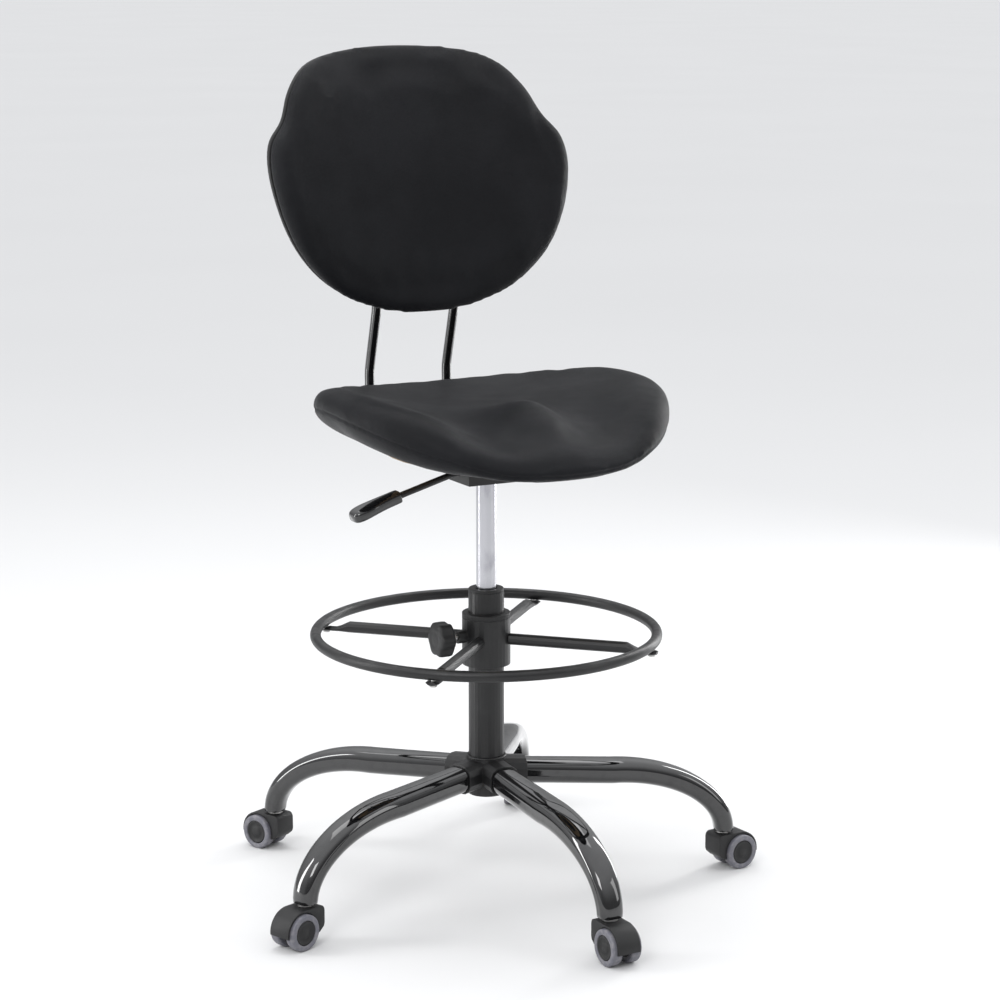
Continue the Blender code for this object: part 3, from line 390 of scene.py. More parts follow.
# %% Skinning helpers
def skin(name, loops, closed_ends=True, round_trip=False):
    """Quads over rows of closed loops; round_trip joins the last row to the first."""
    bm = bmesh.new()
    rows = [[bm.verts.new(point) for point in loop] for loop in loops]
    pairs = list(zip(rows, rows[1:]))
    if round_trip:
        pairs.append((rows[-1], rows[0]))
    for lower, upper in pairs:
        for i in range(len(lower)):
            j = (i + 1) % len(lower)
            bm.faces.new((lower[i], lower[j], upper[j], upper[i]))
    if closed_ends and not round_trip:
        bm.faces.new(reversed(rows[0]))
        bm.faces.new(rows[-1])
    bmesh.ops.recalc_face_normals(bm, faces=bm.faces)
    mesh = bpy.data.meshes.new(name)
    bm.to_mesh(mesh)
    bm.free()
    mesh.shade_smooth()
    return place(name, mesh)


def place(name, mesh):
    piece = bpy.data.objects.new(name, mesh)
    bpy.context.scene.collection.objects.link(piece)
    piece.location = COLUMN
    return piece


def wear(piece, finish, body, stands_for=()):
    """Last step for a piece: its finish, the body it rides on and what it stands for."""
    piece.data.materials.clear()
    piece.data.materials.append(finish)
    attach(piece, body)
    if stands_for:
        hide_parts(*stands_for)
    return piece


def superellipse(angle, power):
    across = math.copysign(abs(math.cos(angle)) ** (2 / power), math.cos(angle))
    along = math.copysign(abs(math.sin(angle)) ** (2 / power), math.sin(angle))
    return across, along


def between(value, low, high):
    """0 at low, 1 at high, and clamped outside."""
    return min(1.0, max(0.0, (value - low) / (high - low)))


# %% Turned and swept shapes
def lathe(name, profile, sides, axis="Z"):
    """Turn (radius, height) points; the radius is never 0, and the ends are capped."""
    loops = []
    for radius, height in profile:
        loop = []
        for i in range(sides):
            turn = 2 * math.pi * i / sides
            loop.append(Vector((radius * math.cos(turn), radius * math.sin(turn), height)))
        loops.append(loop)
    piece = skin(name, loops)
    if axis == "Y":
        piece.data.transform(Matrix.Rotation(math.radians(-90), 4, "X"))
    if axis == "X":
        piece.data.transform(Matrix.Rotation(math.radians(-90), 4, "Y"))
    return piece


def arc(centre, radius, start, end, steps):
    """Points of a corner's arc, as (radius, height), with angles in degrees."""
    points = []
    for i in range(steps + 1):
        turn = math.radians(start + (end - start) * i / steps)
        points.append((centre[0] + radius * math.cos(turn), centre[1] + radius * math.sin(turn)))
    return points


def through(points, steps):
    """A Catmull-Rom curve through points, with steps pieces between two of them."""
    points = [Vector(point) for point in points]
    chain = [2 * points[0] - points[1], *points, 2 * points[-1] - points[-2]]
    curve = []
    for a, b, c, d in zip(chain, chain[1:], chain[2:], chain[3:]):
        for i in range(steps):
            t = i / steps
            even = 2 * b + (c - a) * t + (2 * a - 5 * b + 4 * c - d) * t * t
            curve.append((even + (3 * b - a - 3 * c + d) * t ** 3) / 2)
    return curve + [points[-1]]


def sweep(name, route, radii, sides=24, closed=False):
    """A round bar along a route, with one radius for each of its points."""
    loops = []
    last = len(route) - 1
    up = Vector((0, 0, 1))
    for i, point in enumerate(route):
        before = route[i - 1] if i or closed else point
        after = route[(i + 1) % len(route)] if i < last or closed else point
        forward = (after - before).normalized()
        if abs(forward.dot(up)) > 0.9:
            up = Vector((0, 1, 0)) if not loops else up
        side = forward.cross(up).normalized()
        up = side.cross(forward).normalized()
        loop = []
        for k in range(sides):
            turn = 2 * math.pi * k / sides
            loop.append(point + (side * math.cos(turn) + up * math.sin(turn)) * radii[i])
        loops.append(loop)
    return skin(name, loops, not closed, closed)


# %% [markdown]
# A leg is one tube of rounded-square section.  It leaves its sleeve almost level, then bends
# down to the caster in a quarter ellipse and gets slimmer on the way.  The section always
# stands square to the centre line.  A rolled seam runs along each flank, where the two
# half-shells of the tube were pressed together.

# %% Legs
STEM_CIRCLE = 0.346
LEG_ROOT_Z = 0.163
LEG_SLOPE = 0.062
BEND_START = 0.180
LEG_FOOT_Z = 0.058
SLEEVE_REACH = 0.055


def leg_line():
    """(point, outward direction, width, depth) along a leg that points to -Y."""
    line = []
    height = LEG_ROOT_Z
    for step in range(7):
        radius = 0.033 + (BEND_START - 0.033) * step / 7
        height = LEG_ROOT_Z - LEG_SLOPE * (radius - SLEEVE_REACH)
        width = 0.040 + 0.005 * between(radius, SLEEVE_REACH, BEND_START)
        line.append((Vector((0, -radius, height)), Vector((0, -1, -LEG_SLOPE)).normalized(), width, 0.036))
    bend_top = LEG_ROOT_Z - LEG_SLOPE * (BEND_START - SLEEVE_REACH)
    out, down = STEM_CIRCLE - BEND_START, bend_top - LEG_FOOT_Z
    for step in range(31):
        turn = math.radians(3 * step)
        share = step / 30
        point = Vector((0, -BEND_START - out * math.sin(turn), LEG_FOOT_Z + down * math.cos(turn)))
        forward = Vector((0, -out * math.cos(turn), -down * math.sin(turn))).normalized()
        if share < 0.15:
            forward = forward.lerp(Vector((0, -1, -LEG_SLOPE)).normalized(), 0.5 - share * 3.3).normalized()
        line.append((point, forward, 0.045 - 0.011 * share, 0.036 - 0.008 * share))
    return line


def leg_loops(sides=56, seam=0.0006):
    loops = []
    across = Vector((1, 0, 0))
    for point, forward, width, depth in leg_line():
        up = forward.cross(across)
        loop = []
        for i in range(sides):
            turn = 2 * math.pi * i / sides
            u, v = superellipse(turn, 2.6)
            groove = 1 - seam / width * 2 * math.exp(-((v * depth / 0.0016) ** 2))
            loop.append(point + across * u * width / 2 * groove + up * v * depth / 2)
        loops.append(loop)
    foot = loops[-1]
    middle = sum(foot, Vector()) / sides
    loops.append([middle + (corner - middle) * 0.93 + Vector((0, 0, -0.0006)) for corner in foot])
    loops[-1] = [Vector((c.x, c.y, LEG_FOOT_Z)) for c in loops[-1]]
    loops[-2] = [Vector((c.x, c.y, LEG_FOOT_Z + 0.0010)) for c in loops[-2]]
    return loops


for name, (angle, _) in CASTERS.items():
    leg = skin(f"leg_{name}_plated", leg_loops())
    leg.data.transform(Matrix.Rotation(math.radians(angle), 4, "Z"))
    wear(leg, PLATING, "base", [f"leg_{name}"])
print("legs", len(CASTERS), "each", len(leg.data.vertices), "points")

# %% [markdown]
# The hub was welded: a bead runs round the column where it enters the hub, with the small
# overlapping ripples that a welder leaves.

# %% Weld bead on the hub
hub_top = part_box("hub")[1].z
bead_route = []
bead_radii = []
for i in range(180):
    turn = 2 * math.pi * i / 180
    bead_route.append(Vector((0.0262 * math.cos(turn), 0.0262 * math.sin(turn), hub_top + 0.0002)))
    bead_radii.append(0.0018 + 0.0003 * abs(math.sin(turn * 26)))
bead = sweep("hub_weld_bead", bead_route, bead_radii, 10, closed=True)
wear(bead, POWDER, "base")

# %% [markdown]
# A caster's hood is a half shell over each wheel with a web between them.  It is extruded from
# its side view, the wheels' room is cut out with a Boolean, and a Bevel rounds its edges as
# moulded nylon has them.

# %% Caster hoods
WHEEL_RADIUS = 0.025
TRAIL = 0.020
HOOD_TOP = 0.054


def hood_side_view():
    reach = WHEEL_RADIUS + 0.0040
    points = []
    for i in range(19):
        turn = math.radians(-6 + 96 * i / 18)
        points.append((TRAIL + reach * math.cos(turn), WHEEL_RADIUS + reach * math.sin(turn)))
    points += [(-0.0130, HOOD_TOP), (-0.0160, HOOD_TOP - 0.0012), (-0.0182, HOOD_TOP - 0.0038)]
    points += [(-0.0190, HOOD_TOP - 0.0070), (-0.0190, WHEEL_RADIUS + 0.0040)]
    points += [(-0.0175, WHEEL_RADIUS - 0.0005), (-0.0100, WHEEL_RADIUS - 0.0070)]
    return points + [(0.0050, WHEEL_RADIUS - 0.0100), (TRAIL, WHEEL_RADIUS - 0.0120)]


def hood_mesh():
    side_view = hood_side_view()
    solid = skin("hood", [[Vector((x, y, z)) for x, z in side_view] for y in (-0.017, 0.017)])
    cutters = []
    for side in (-1, 1):
        near, far = sorted((side * 0.0065, side * 0.030))
        room = lathe("room", [(0.0262, near), (0.0262, far)], 64, "Y")
        room.data.transform(Matrix.Translation((TRAIL, 0, WHEEL_RADIUS)))
        cutters.append(room)
    for cutter in cutters:
        cut = solid.modifiers.new("room", "BOOLEAN")
        cut.operation, cut.solver, cut.object = "DIFFERENCE", "EXACT", cutter
    edge = solid.modifiers.new("edge", "BEVEL")
    edge.width, edge.segments, edge.limit_method = 0.0011, 3, "ANGLE"
    edge.angle_limit = math.radians(35)
    bpy.context.view_layer.update()
    made = bpy.data.meshes.new_from_object(solid.evaluated_get(bpy.context.evaluated_depsgraph_get()))
    for helper in (solid, *cutters):
        bpy.data.objects.remove(helper)
    made.shade_smooth()
    made.set_sharp_from_angle(angle=math.radians(32))
    return made


# %% [markdown]
# A wheel is a grey tread on a black disc.  The tread's shoulders are rounded and the disc is
# dished, with a raised boss at its middle; both are turned on the same axis.

# %% Wheels
def wheel_meshes():
    tread = arc((0.0222, -0.0047), 0.0028, -90, 0, 6) + arc((0.0222, 0.0047), 0.0028, 0, 90, 6)
    tread = [(0.0178, -0.0068)] + tread + [(0.0178, 0.0075), (0.0172, 0.0068), (0.0172, -0.0068)]
    loops = []
    for radius, height in tread:
        turns = [2 * math.pi * i / 64 for i in range(64)]
        loops.append([Vector((radius * math.cos(t), height, -radius * math.sin(t))) for t in turns])
    tyre_piece = skin("tread", loops, False, True)
    disc = [(0.0040, -0.0066), (0.0170, -0.0066), (0.0170, 0.0062), (0.0160, 0.0071), (0.0146, 0.0070)]
    disc += [(0.0132, 0.0058), (0.0085, 0.0052), (0.0072, 0.0060), (0.0058, 0.0066), (0.0010, 0.0068)]
    disc_piece = lathe("disc", disc, 64, "Y")
    meshes = [tyre_piece.data, disc_piece.data]
    for helper in (tyre_piece, disc_piece):
        bpy.data.objects.remove(helper)
    for mesh in meshes:
        mesh.set_sharp_from_angle(angle=math.radians(50))
    return meshes


def at_caster(angle, trail):
    """Matrix from a caster's own frame, stem at its origin and trail along X, to the column's."""
    turn = math.radians(angle)
    stem = Vector((STEM_CIRCLE * math.sin(turn), -STEM_CIRCLE * math.cos(turn), 0))
    return Matrix.Translation(stem) @ Matrix.Rotation(math.radians(trail), 4, "Z")


hood = hood_mesh()
tread_mesh, disc_mesh = wheel_meshes()
WHEEL_OFFSET = 0.0146
for name, (angle, trail) in CASTERS.items():
    caster = at_caster(angle, trail)
    mesh = hood.copy()
    mesh.transform(caster)
    wear(place(f"caster_{name}_cover", mesh), NYLON, f"caster_{name}", [f"caster_{name}_hood"])
    for side, facing in (("a", 1), ("b", -1)):
        seat_of_wheel = Matrix.Translation((TRAIL, WHEEL_OFFSET * facing, WHEEL_RADIUS))
        flip = Matrix.Rotation(0 if facing > 0 else math.pi, 4, "Z")
        body = f"caster_{name}_wheel_{side}"
        pieces = []
        for kind, source in (("tread", tread_mesh), ("disc", disc_mesh)):
            mesh = source.copy()
            mesh.transform(caster @ seat_of_wheel @ flip)
            pieces.append(place(f"caster_{name}_{kind}_{side}", mesh))
        wear(pieces[0], TYRE, body, [body])
        wear(pieces[1], NYLON, body)
print("caster pieces", 5 * len(CASTERS))

# %% [markdown]
# The foot ring is a steel tube rolled into a circle and welded shut, so one turned circle of
# round section is all it is.

# %% Foot ring
ring_low, ring_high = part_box("foot_ring")
RING_TUBE = (ring_high.z - ring_low.z) / 2
RING_RADIUS = (ring_high.x - ring_low.x) / 2 - RING_TUBE
ring_route = []
for i in range(160):
    turn = 2 * math.pi * i / 160
    ring_route.append(Vector((RING_RADIUS * math.cos(turn), RING_RADIUS * math.sin(turn), ring_middle)))
tube = sweep("foot_ring_tube", ring_route, [RING_TUBE] * 160, 24, closed=True)
wear(tube, SCUFFED, "foot_ring", ["foot_ring"])
print("foot ring", round(RING_RADIUS, 4), round(RING_TUBE, 4))

# %% [markdown]
# The clamp knob is moulded with six finger lobes, a soft shoulder on both ends and a capped
# stud hole.  Its loops are circles with a cosine wave, and the wave fades towards the ends.

# %% Clamp knob
CLAMP_Z = (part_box("clamp_pad")[0].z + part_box("clamp_pad")[1].z) / 2


def knob_loops():
    stations = [(0.0562, 0.0080, 0.0), (0.0575, 0.0175, 0.1), (0.0586, 0.0212, 0.5), (0.0604, 0.0232, 0.9)]
    stations += [(0.0640, 0.0236, 1.0), (0.0740, 0.0236, 1.0), (0.0776, 0.0232, 0.9), (0.0796, 0.0216, 0.6)]
    stations += [(0.0806, 0.0190, 0.2), (0.0809, 0.0130, 0.0), (0.0803, 0.0110, 0.0), (0.0806, 0.0090, 0.0)]
    loops = []
    for out, radius, lobe in stations:
        loop = []
        for i in range(96):
            turn = 2 * math.pi * i / 96
            reach = radius + 0.0018 * lobe * math.cos(6 * turn)
            loop.append(Vector((-out, reach * math.cos(turn), CLAMP_Z + reach * math.sin(turn))))
        loops.append(loop)
    return loops


knob = skin("clamp_knob_grip", knob_loops())
wear(knob, NYLON, "clamp_knob", ["clamp_knob"])
stud = lathe("clamp_stud", [(0.0038, 0.0290), (0.0038, 0.0570), (0.0030, 0.0575)], 24, "X")
stud.data.transform(Matrix.Translation((0, 0, CLAMP_Z)))
wear(stud, ZINC, "clamp_knob")

# %% [markdown]
# The lever's handle is a chunky grip: boxy where it holds the rod, and wider near its end.  It
# is a row of rounded sections along the lever, tilted as the lever is.

# %% Lever handle
LEVER_ANGLE = math.radians(15.6)
LEVER_AXIS_Z = 0.609
PADDLE = [(0.0995, 0.0150, 0.0130), (0.1000, 0.0190, 0.0160), (0.1030, 0.0206, 0.0176)]
PADDLE += [(0.1200, 0.0224, 0.0180), (0.1360, 0.0268, 0.0180), (0.1480, 0.0308, 0.0182)]
PADDLE += [(0.1580, 0.0320, 0.0182), (0.1670, 0.0296, 0.0170), (0.1720, 0.0240, 0.0138)]
PADDLE += [(0.1740, 0.0180, 0.0098)]


def paddle_loops():
    down = Matrix.Rotation(-LEVER_ANGLE, 4, "Y")
    axis = Matrix.Translation((0, 0, LEVER_AXIS_Z)) @ down
    stations = through([Vector(row) for row in PADDLE], 4)
    loops = []
    for out, width, depth in stations:
        share = between(out, 0.100, 0.174)
        loop = []
        for i in range(40):
            u, v = superellipse(2 * math.pi * i / 40, 3.4)
            point = Vector((-out - 0.038, u * width / 2, v * depth / 2 - 0.004 * share ** 2))
            loop.append(point)
        loops.append(loop)
    return [[axis @ point for point in loop] for loop in loops]


handle_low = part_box("lever_handle")[0]
handle = skin("lever_paddle", paddle_loops())
want = handle_low - COLUMN
have = Vector(min(v.co[k] for v in handle.data.vertices) for k in range(3))
handle.data.transform(Matrix.Translation((want.x - have.x, 0, want.z - have.z)))
wear(handle, POLISHED, "lever", ["lever_handle"])
print("handle", [round(c, 4) for c in have], "CAD", [round(c, 4) for c in want])

# %% [markdown]
# The back stands on two bent bars.  Each runs back under the seat, turns up in a wide bend,
# leans forward to the back and ends inside it.  The bends are drawn with a smooth curve
# through a few points, and the bar is swept along it.

# %% Posts
post_low, post_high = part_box("back_post_left")
POST_RADIUS = 0.007
POST_X = (post_low.x + post_high.x) / 2 - COLUMN.x
POST_LEVEL = post_low.z + POST_RADIUS
POST_START = post_low.y - COLUMN.y
POST_UP_Y = post_high.y - COLUMN.y - POST_RADIUS


def post_route(side):
    x = side * POST_X
    route = [Vector((x, POST_START, POST_LEVEL)), Vector((x, POST_UP_Y - 0.048, POST_LEVEL))]
    for a in range(10, 91, 10):
        turn = math.radians(a)
        y = POST_UP_Y - 0.045 + 0.045 * math.sin(turn)
        route.append(Vector((x, y, POST_LEVEL + 0.045 - 0.045 * math.cos(turn))))
    corners = [Vector((x, POST_UP_Y, 0.690)), Vector((x, POST_UP_Y, 0.703))]
    corners += [Vector((x, POST_UP_Y - 0.003, 0.718))]
    corners += [Vector((x, 0.219, 0.785)), Vector((x, 0.2157, 0.800)), Vector((x, 0.2145, 0.812))]
    corners += [Vector((x, 0.2060, 0.852)), Vector((x, 0.2045, 0.866)), Vector((x, 0.2045, post_high.z))]
    return route + through(corners, 4)


for name, side in (("right", -1), ("left", 1)):
    route = post_route(side)
    post = sweep(f"back_post_{name}_plated", route, [POST_RADIUS] * len(route), 28)
    wear(post, PLATING, "seat", [f"back_post_{name}"])
print("posts at", round(POST_X, 4), "upright at", round(POST_UP_Y, 4))

# %% [markdown]
# The seat's foam is one moulding.  From above it is a rounded square; its top is dished, with
# raised sides, a ridge between two thigh hollows and a front edge that rolls down; its rim
# hangs lowest at the front.  These sums give its height at any point.

# %% Seat shape
seat_low, seat_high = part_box("seat_cushion")
SEAT_HALF = (seat_high.x - seat_low.x) / 2
SEAT_FRONT = seat_low.y - COLUMN.y
SEAT_REAR = seat_high.y - COLUMN.y
SEAT_MIDDLE = (SEAT_FRONT + SEAT_REAR) / 2
SEAT_DEPTH = (SEAT_REAR - SEAT_FRONT) / 2
UNDERSIDE = 0.635


def seat_point(angle, scale):
    power = 2.2 if math.sin(angle) < 0 else 2.35
    u, v = superellipse(angle, power)
    return u * scale * SEAT_HALF, SEAT_MIDDLE + v * scale * SEAT_DEPTH


def seat_top(x, y):
    side = abs(x) / SEAT_HALF
    height = 0.681 + 0.048 * side * side
    ridge = math.exp(-((x / 0.042) ** 2) - ((y + 0.115) / 0.070) ** 2)
    hollow = math.exp(-(((abs(x) - 0.088) / 0.050) ** 2) - ((y + 0.150) / 0.080) ** 2)
    height += 0.025 * ridge - 0.018 * hollow
    height += 0.020 * between(y, 0.040, SEAT_REAR) ** 2 * (1 - side * side)
    return height - 0.024 * between(y, -0.120, SEAT_FRONT) ** 2


def seat_rim(x, y):
    side = abs(x) / SEAT_HALF
    lift = 0.034 * side ** 4 + 0.014 * between(y, -0.170, 0.0)
    return 0.627 + lift - 0.015 * between(y, -0.200, SEAT_FRONT)


def seat_loops(sides=120, shrink=0.0):
    edge = 0.86
    levels = [(edge, 0.0)]
    for degrees in range(-75, 76, 15):
        turn = math.radians(degrees)
        levels.append((edge + (1 - edge) * math.cos(turn), 0.5 + 0.5 * math.sin(turn)))
    levels += [(scale, 1.0) for scale in (0.86, 0.77, 0.68, 0.59, 0.50, 0.41, 0.32, 0.23, 0.14, 0.06)]
    angles = [2 * math.pi * (i + 0.5) / sides for i in range(sides)]
    loops = [[Vector((*seat_point(a, s), UNDERSIDE)) for a in angles] for s in (0.2, 0.62)]
    for scale, share in levels:
        loop = []
        for angle in angles:
            x, y = seat_point(angle, scale - shrink)
            bottom, top = seat_rim(x, y), seat_top(x, y)
            loop.append(Vector((x, y, bottom + (top - bottom) * share)))
        loops.append(loop)
    return loops


# %% [markdown]
# The back is a shallow dish of foam on a moulded shell.  Its outline is half a dozen points
# joined by a smooth curve and mirrored.  Seen from the side it stands upright at the bottom
# and curls back towards the top, so every point is moved back by a sum of its height.

# %% Back shape
BACK_HALF_OUTLINE = [(0.000, 0.792), (0.079, 0.801), (0.156, 0.837), (0.207, 0.899), (0.231, 0.979)]
BACK_HALF_OUTLINE += [(0.228, 1.036), (0.202, 1.068), (0.183, 1.110), (0.144, 1.149)]
BACK_HALF_OUTLINE += [(0.072, 1.166), (0.000, 1.170)]
BACK_MIDDLE_Z = 0.980
BACK_WIDEST = 0.231


def back_outline(steps=6):
    points = BACK_HALF_OUTLINE
    mirrored = [(-points[1][0], points[1][1]), *points, (-points[-2][0], points[-2][1])]
    chain = [Vector(point) for point in mirrored]
    right = []
    for a, b, c, d in zip(chain, chain[1:], chain[2:], chain[3:]):
        for i in range(steps):
            t = i / steps
            even = 2 * b + (c - a) * t + (2 * a - 5 * b + 4 * c - d) * t * t
            right.append((even + (3 * b - a - 3 * c + d) * t ** 3) / 2)
    right.append(chain[-2])
    for _ in range(3):
        soft = right[:]
        for i in range(1, len(right) - 1):
            soft[i] = (right[i - 1] + right[i] * 2 + right[i + 1]) / 4
        right = soft
    return right + [Vector((-point.x, point.y)) for point in reversed(right[1:-1])]


def back_lean(z):
    height = z - BACK_MIDDLE_Z
    return 0.234 * height + 0.81 * height ** 2 + 0.72 * height ** 3


def back_loop(outline, scale, share=0.0, depth=0.0):
    loop = []
    for point in outline:
        x = point.x * scale
        z = BACK_MIDDLE_Z + (point.y - BACK_MIDDLE_Z) * scale
        front = 0.195 - 0.022 * (x / BACK_WIDEST) ** 2 - 0.012 * between(scale, 0.45, 0.90) ** 2
        y = 0.204 + (front - 0.204) * share + depth + back_lean(z)
        loop.append(Vector((x, y, z)))
    return loop


def back_pad_loops():
    outline = back_outline()
    loops = [back_loop(outline, scale) for scale in (0.2, 0.5, 0.86, 0.90)]
    for degrees in range(-75, 76, 15):
        turn = math.radians(degrees)
        loops.append(back_loop(outline, 0.90 + 0.10 * math.cos(turn), 0.5 + 0.5 * math.sin(turn)))
    shares = (0.90, 0.82, 0.7, 0.56, 0.42, 0.28, 0.14, 0.05)
    return loops + [back_loop(outline, scale, 1.0) for scale in shares]


# %% [markdown]
# Foam under a tight cover isn't a sum: the cover pulls flat between its seams and the foam
# pushes it out.  So each cushion starts a little too small, is remeshed into even quads, and
# Blender's Cloth blows it up with a steady pressure while the seam holds still.  The result is
# applied, capped so that no point goes further than the frame allows, and subdivided.

# %% Blow up a cushion
def nearest_on(points):
    """A lookup from a place to its nearest point of a seam."""
    from mathutils.kdtree import KDTree

    tree = KDTree(len(points))
    for i, point in enumerate(points):
        tree.insert(point, i)
    tree.balance()
    return tree


def remeshed(piece, voxel):
    step = piece.modifiers.new("even", "REMESH")
    step.mode = "VOXEL"
    step.voxel_size = voxel
    step.use_smooth_shade = True
    smooth = piece.modifiers.new("soften", "SMOOTH")
    smooth.factor, smooth.iterations = 0.5, 4
    bpy.context.view_layer.update()
    mesh = bpy.data.meshes.new_from_object(piece.evaluated_get(bpy.context.evaluated_depsgraph_get()))
    piece.modifiers.clear()
    piece.data = mesh
    return piece


def blow_up(piece, held, cap, pressure=4.0):
    """held(point) says which points stay where they are; cap is the furthest move in metres."""
    group = piece.vertex_groups.new(name="held")
    rest = [vertex.co.copy() for vertex in piece.data.vertices]
    group.add([i for i, point in enumerate(rest) if held(point)], 1.0, "REPLACE")
    cloth = piece.modifiers.new("cloth", "CLOTH")
    cloth.settings.use_pressure = True
    cloth.settings.uniform_pressure_force = pressure
    cloth.settings.tension_stiffness = 20
    cloth.settings.compression_stiffness = 20
    cloth.settings.bending_stiffness = 3
    cloth.settings.vertex_group_mass = "held"
    cloth.settings.effector_weights.gravity = 0
    cloth.collision_settings.use_collision = False
    for number in range(1, 21):
        bpy.context.scene.frame_set(number)
    moved = piece.evaluated_get(bpy.context.evaluated_depsgraph_get()).data
    furthest = 0.0
    for vertex, start, blown in zip(piece.data.vertices, rest, moved.vertices):
        step = blown.co - start
        furthest = max(furthest, step.length)
        if step.length > cap:
            step *= cap / step.length
        vertex.co = start + step
    piece.modifiers.remove(cloth)
    piece.vertex_groups.remove(group)
    smooth = piece.modifiers.new("soften", "SMOOTH")
    smooth.factor, smooth.iterations = 0.5, 14
    bpy.context.scene.frame_set(1)
    return furthest


def press_seam(piece, seam, reach, depth):
    """Pull the cover in along a seam: a groove that is reach wide and depth deep."""
    tree = nearest_on(seam)
    normals = [vertex.normal.copy() for vertex in piece.data.vertices]
    for vertex, normal in zip(piece.data.vertices, normals):
        _, _, gap = tree.find(vertex.co)
        if gap < reach * 2.5:
            vertex.co -= normal * depth * math.exp(-((gap / reach) ** 2))


def finer(piece, levels=1):
    """Round the mesh once more, and apply all that is on it."""
    step = piece.modifiers.new("fine", "SUBSURF")
    step.levels = step.render_levels = levels
    bpy.context.view_layer.update()
    mesh = bpy.data.meshes.new_from_object(piece.evaluated_get(bpy.context.evaluated_depsgraph_get()))
    piece.modifiers.clear()
    piece.data = mesh
    mesh.shade_smooth()
    return piece


# %% [markdown]
# The seat's cover is sewn from a top panel and a side band, and the seam runs round the rim a
# little above its lower edge.  The band is pulled under the board, so the underside is held
# still while the top swells.

# %% Seat cushion
seat_seam = []
for i in range(1200):
    angle = 2 * math.pi * i / 1200
    x, y = seat_point(angle, 0.993)
    bottom, top = seat_rim(x, y), seat_top(x, y)
    seat_seam.append(Vector((x, y, bottom + (top - bottom) * 0.33)))
seat_seam_tree = nearest_on(seat_seam)

seat = remeshed(skin("seat_upholstery", seat_loops(shrink=0.008)), 0.0055)
moved = blow_up(seat, lambda p: p.z < UNDERSIDE + 0.001 or seat_seam_tree.find(p)[2] < 0.006, 0.006)
finer(seat)
seat_tree = nearest_on([vertex.co for vertex in seat.data.vertices])
seat_seam = [seat_tree.find(point)[0] for point in seat_seam]
press_seam(seat, seat_seam, 0.0022, 0.0016)
wear(seat, LEATHER, "seat", ["seat_cushion"])
print("seat points", len(seat.data.vertices), "furthest swell", round(moved, 4))

# %% Back cushion
back_line = back_outline(12)
back_seam = back_loop(back_line, 0.985, 0.28)
back_seam_tree = nearest_on(back_seam)
back = remeshed(skin("back_upholstery", back_pad_loops()), 0.005)
moved = blow_up(back, lambda p: p.y > 0.2030 + back_lean(p.z) or back_seam_tree.find(p)[2] < 0.006, 0.005)
finer(back)
press_seam(back, back_seam, 0.0020, 0.0014)
wear(back, LEATHER, "seat", ["back_cushion"])
print("back points", len(back.data.vertices), "furthest swell", round(moved, 4))

# %% [markdown]
# The back's shell is a moulded cover with a deep rounded edge.  It is skinned from the same
# outline as the cushion, so the two meet in an even gap all round.

# %% Back shell
def shell_loops():
    outline = back_outline()
    deep = 0.036
    rows = [(0.955, 0.0003), (0.970, 0.0003), (0.9755, 0.0010), (0.9760, 0.0030), (0.9720, 0.0080)]
    rows += [(0.9560, 0.0135), (0.9300, 0.0178), (0.8900, 0.0218), (0.8400, 0.0258), (0.7700, 0.0300)]
    rows += [(0.6600, 0.0332), (0.5200, 0.0351), (0.3600, deep), (0.2000, deep), (0.0600, deep)]
    return [back_loop(outline, scale, depth=depth) for scale, depth in rows]


shell = skin("back_shell_cover", shell_loops())
wear(shell, NYLON, "seat", ["back_shell"])

# %% [markdown]
# Where a post enters the shell there is a rubbery grommet, and under the seat each post is
# bolted to the plate.  The plate itself hangs on four hexagon bolts.  None of this is large,
# but it is what a hand finds when the chair is turned over.

# %% Grommets and bolts
for name, side in (("right", -1), ("left", 1)):
    middle = Vector((side * POST_X, 0.2125, 0.8225))
    lean = Vector((0, -0.0085, 0.040)).normalized()
    path = []
    for i in range(48):
        turn = 2 * math.pi * i / 48
        across = Vector((1, 0, 0)) * math.cos(turn) + lean.cross(Vector((1, 0, 0))) * math.sin(turn)
        path.append(middle + across * 0.0082)
    grommet = sweep(f"post_grommet_{name}", path, [0.0018] * 48, 12, closed=True)
    wear(grommet, NYLON, "seat")

PLATE_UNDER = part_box("lift_mechanism")[1].z - 0.003
WASHER_THICKNESS = 0.0012
BOLT_X = 0.066
BOLT_Y = 0.078


def bolt(name, x, y, under, across=0.010, tall=0.0052):
    """A hexagon bolt with a washer, hanging head down from the height under."""
    hexagon = []
    levels = ((0.50, -tall), (0.56, -tall + 0.0006), (0.577, -WASHER_THICKNESS))
    for share, height in levels:
        radius = across * share
        ring = []
        for k in range(6):
            turn = math.pi * k / 3
            ring.append(Vector((x + radius * math.cos(turn), y + radius * math.sin(turn), under + height)))
        hexagon.append(ring)
    head = skin(name, hexagon)
    head.data.shade_flat()
    profile = [(0.0080, under - WASHER_THICKNESS), (0.0085, under - 0.0009), (0.0085, under)]
    washer = lathe(name + "_washer", profile, 32)
    washer.data.transform(Matrix.Translation((x, y, 0)))
    for piece in (head, washer):
        wear(piece, ZINC, "seat")


corners = [(x, y) for y in (-BOLT_Y, BOLT_Y) for x in (-BOLT_X, BOLT_X)]
for number, (x, y) in enumerate(corners, start=1):
    bolt(f"plate_bolt_{number}", x, y, PLATE_UNDER - 0.0001)
print("bolts under the seat", 4)

# %% [markdown]
# The chair stands on a plain pale floor that fades into a pale room.  Two large soft boxes
# stand left and right of the camera and one hangs overhead; a long narrow one at each side
# draws the bright streaks that a mirror black needs.

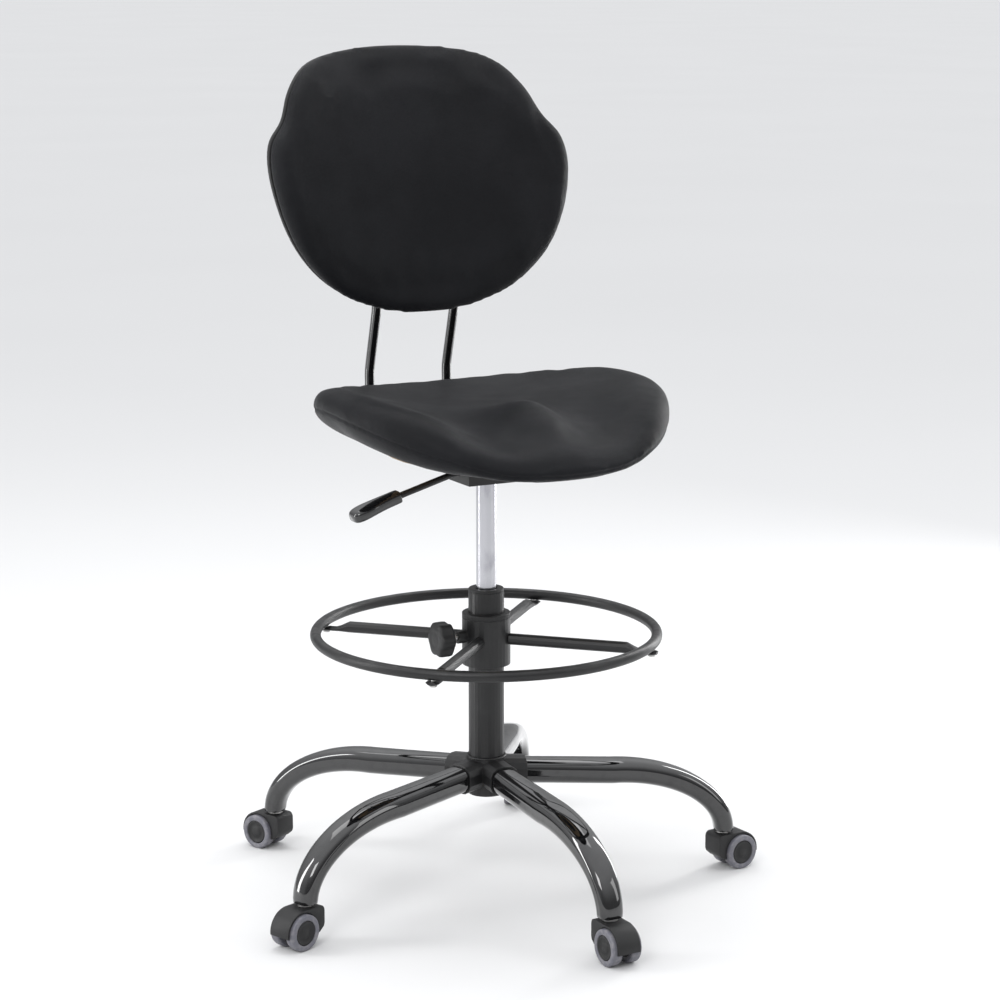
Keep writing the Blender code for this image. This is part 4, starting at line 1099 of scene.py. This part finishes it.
# %% Floor and light
def floor():
    bm = bmesh.new()
    bmesh.ops.create_circle(bm, cap_ends=True, radius=150.0, segments=96)
    mesh = bpy.data.meshes.new("floor")
    bm.to_mesh(mesh)
    bm.free()
    piece = place("floor", mesh)
    stone = Finish("pale_floor", Roughness=0.75, Specular_IOR_Level=0.2)
    cloud = stone.noise(1.5, 2.0)
    piece.data.materials.append(
        stone.finish(Base_Color=stone.mix(cloud, (0.72, 0.72, 0.72), (0.75, 0.75, 0.75)))
    )
    piece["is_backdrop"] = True
    return piece


floor()
def room():
    """A pale studio whose walls have two brighter and two darker sides, low contrast above."""
    world = bpy.data.worlds.new("pale_room")
    walls = Finish("", "Generated", world, "Background")
    across = walls.axis("X")
    along = walls.axis("Y")
    up = walls.axis("Z")
    left = (across * -0.93 + along * 0.36).above(0.55, 0.98)
    right = (across * 0.97 + along * 0.20).above(0.62, 0.99)
    overhead = up.above(0.12, 0.92)
    bright = 0.17 + left * 0.22 + right * 0.16 + overhead * 0.60
    colour = walls.mix(bright, (0.0, 0.0, 0.0), (0.97, 0.98, 1.0))
    walls.finish(Color=colour, Strength=1.75)
    bpy.context.scene.world = world
    bpy.context.scene.view_settings.view_transform = "Standard"


room()


def softbox(name, spot, target, width, height, power, colour=(1.0, 1.0, 1.0)):
    light = bpy.data.lights.new(name, "AREA")
    light.shape = "RECTANGLE"
    light.size, light.size_y = width, height
    light.energy = power
    light.color = colour
    lamp = bpy.data.objects.new(name, light)
    bpy.context.scene.collection.objects.link(lamp)
    lamp.location = COLUMN + Vector(spot)
    lamp.rotation_euler = (Vector(target) - Vector(spot)).to_track_quat("-Z", "Y").to_euler()
    return lamp


softbox("key", (-2.4, -2.0, 2.4), (0, 0, 0.8), 1.3, 1.3, 34)
softbox("fill", (2.2, -2.2, 1.4), (0, 0, 0.6), 0.9, 1.8, 12)
softbox("overhead", (0.2, 0.9, 3.0), (0, 0, 0.6), 2.4, 1.6, 22)
softbox("left_strip", (-2.2, 0.9, 1.0), (0, 0, 0.5), 0.30, 2.2, 22)
softbox("right_strip", (2.2, 0.7, 1.0), (0, 0, 0.5), 0.30, 2.2, 22)

# %% [markdown]
# The camera stands at a seated person's eye height, about four metres away to the chair's
# front right, and looks a little down.  From so far a long lens is needed, which keeps the
# chair's upright lines nearly parallel.

# %% Camera
lens = bpy.data.cameras.new("camera")
lens.lens = 99.5
lens.sensor_width = 36.0
lens.clip_end = 500.0
camera = bpy.data.objects.new("camera", lens)
bpy.context.scene.collection.objects.link(camera)
camera.location = COLUMN + Vector((-1.751, -3.313, 1.313))
level = Vector((0.4718, 0.8817, 0.0)).normalized()
pitch = 0.2
gaze = level * math.cos(pitch) - Vector((0, 0, math.sin(pitch)))
camera.rotation_euler = gaze.to_track_quat("-Z", "Y").to_euler()
bpy.context.scene.camera = camera

# %% Compare the sizes and finish
visual_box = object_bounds()
growth = (visual_box[1] - visual_box[0]) - (frame_box[1] - frame_box[0])
print("grows by", [round(side, 4) for side in growth])
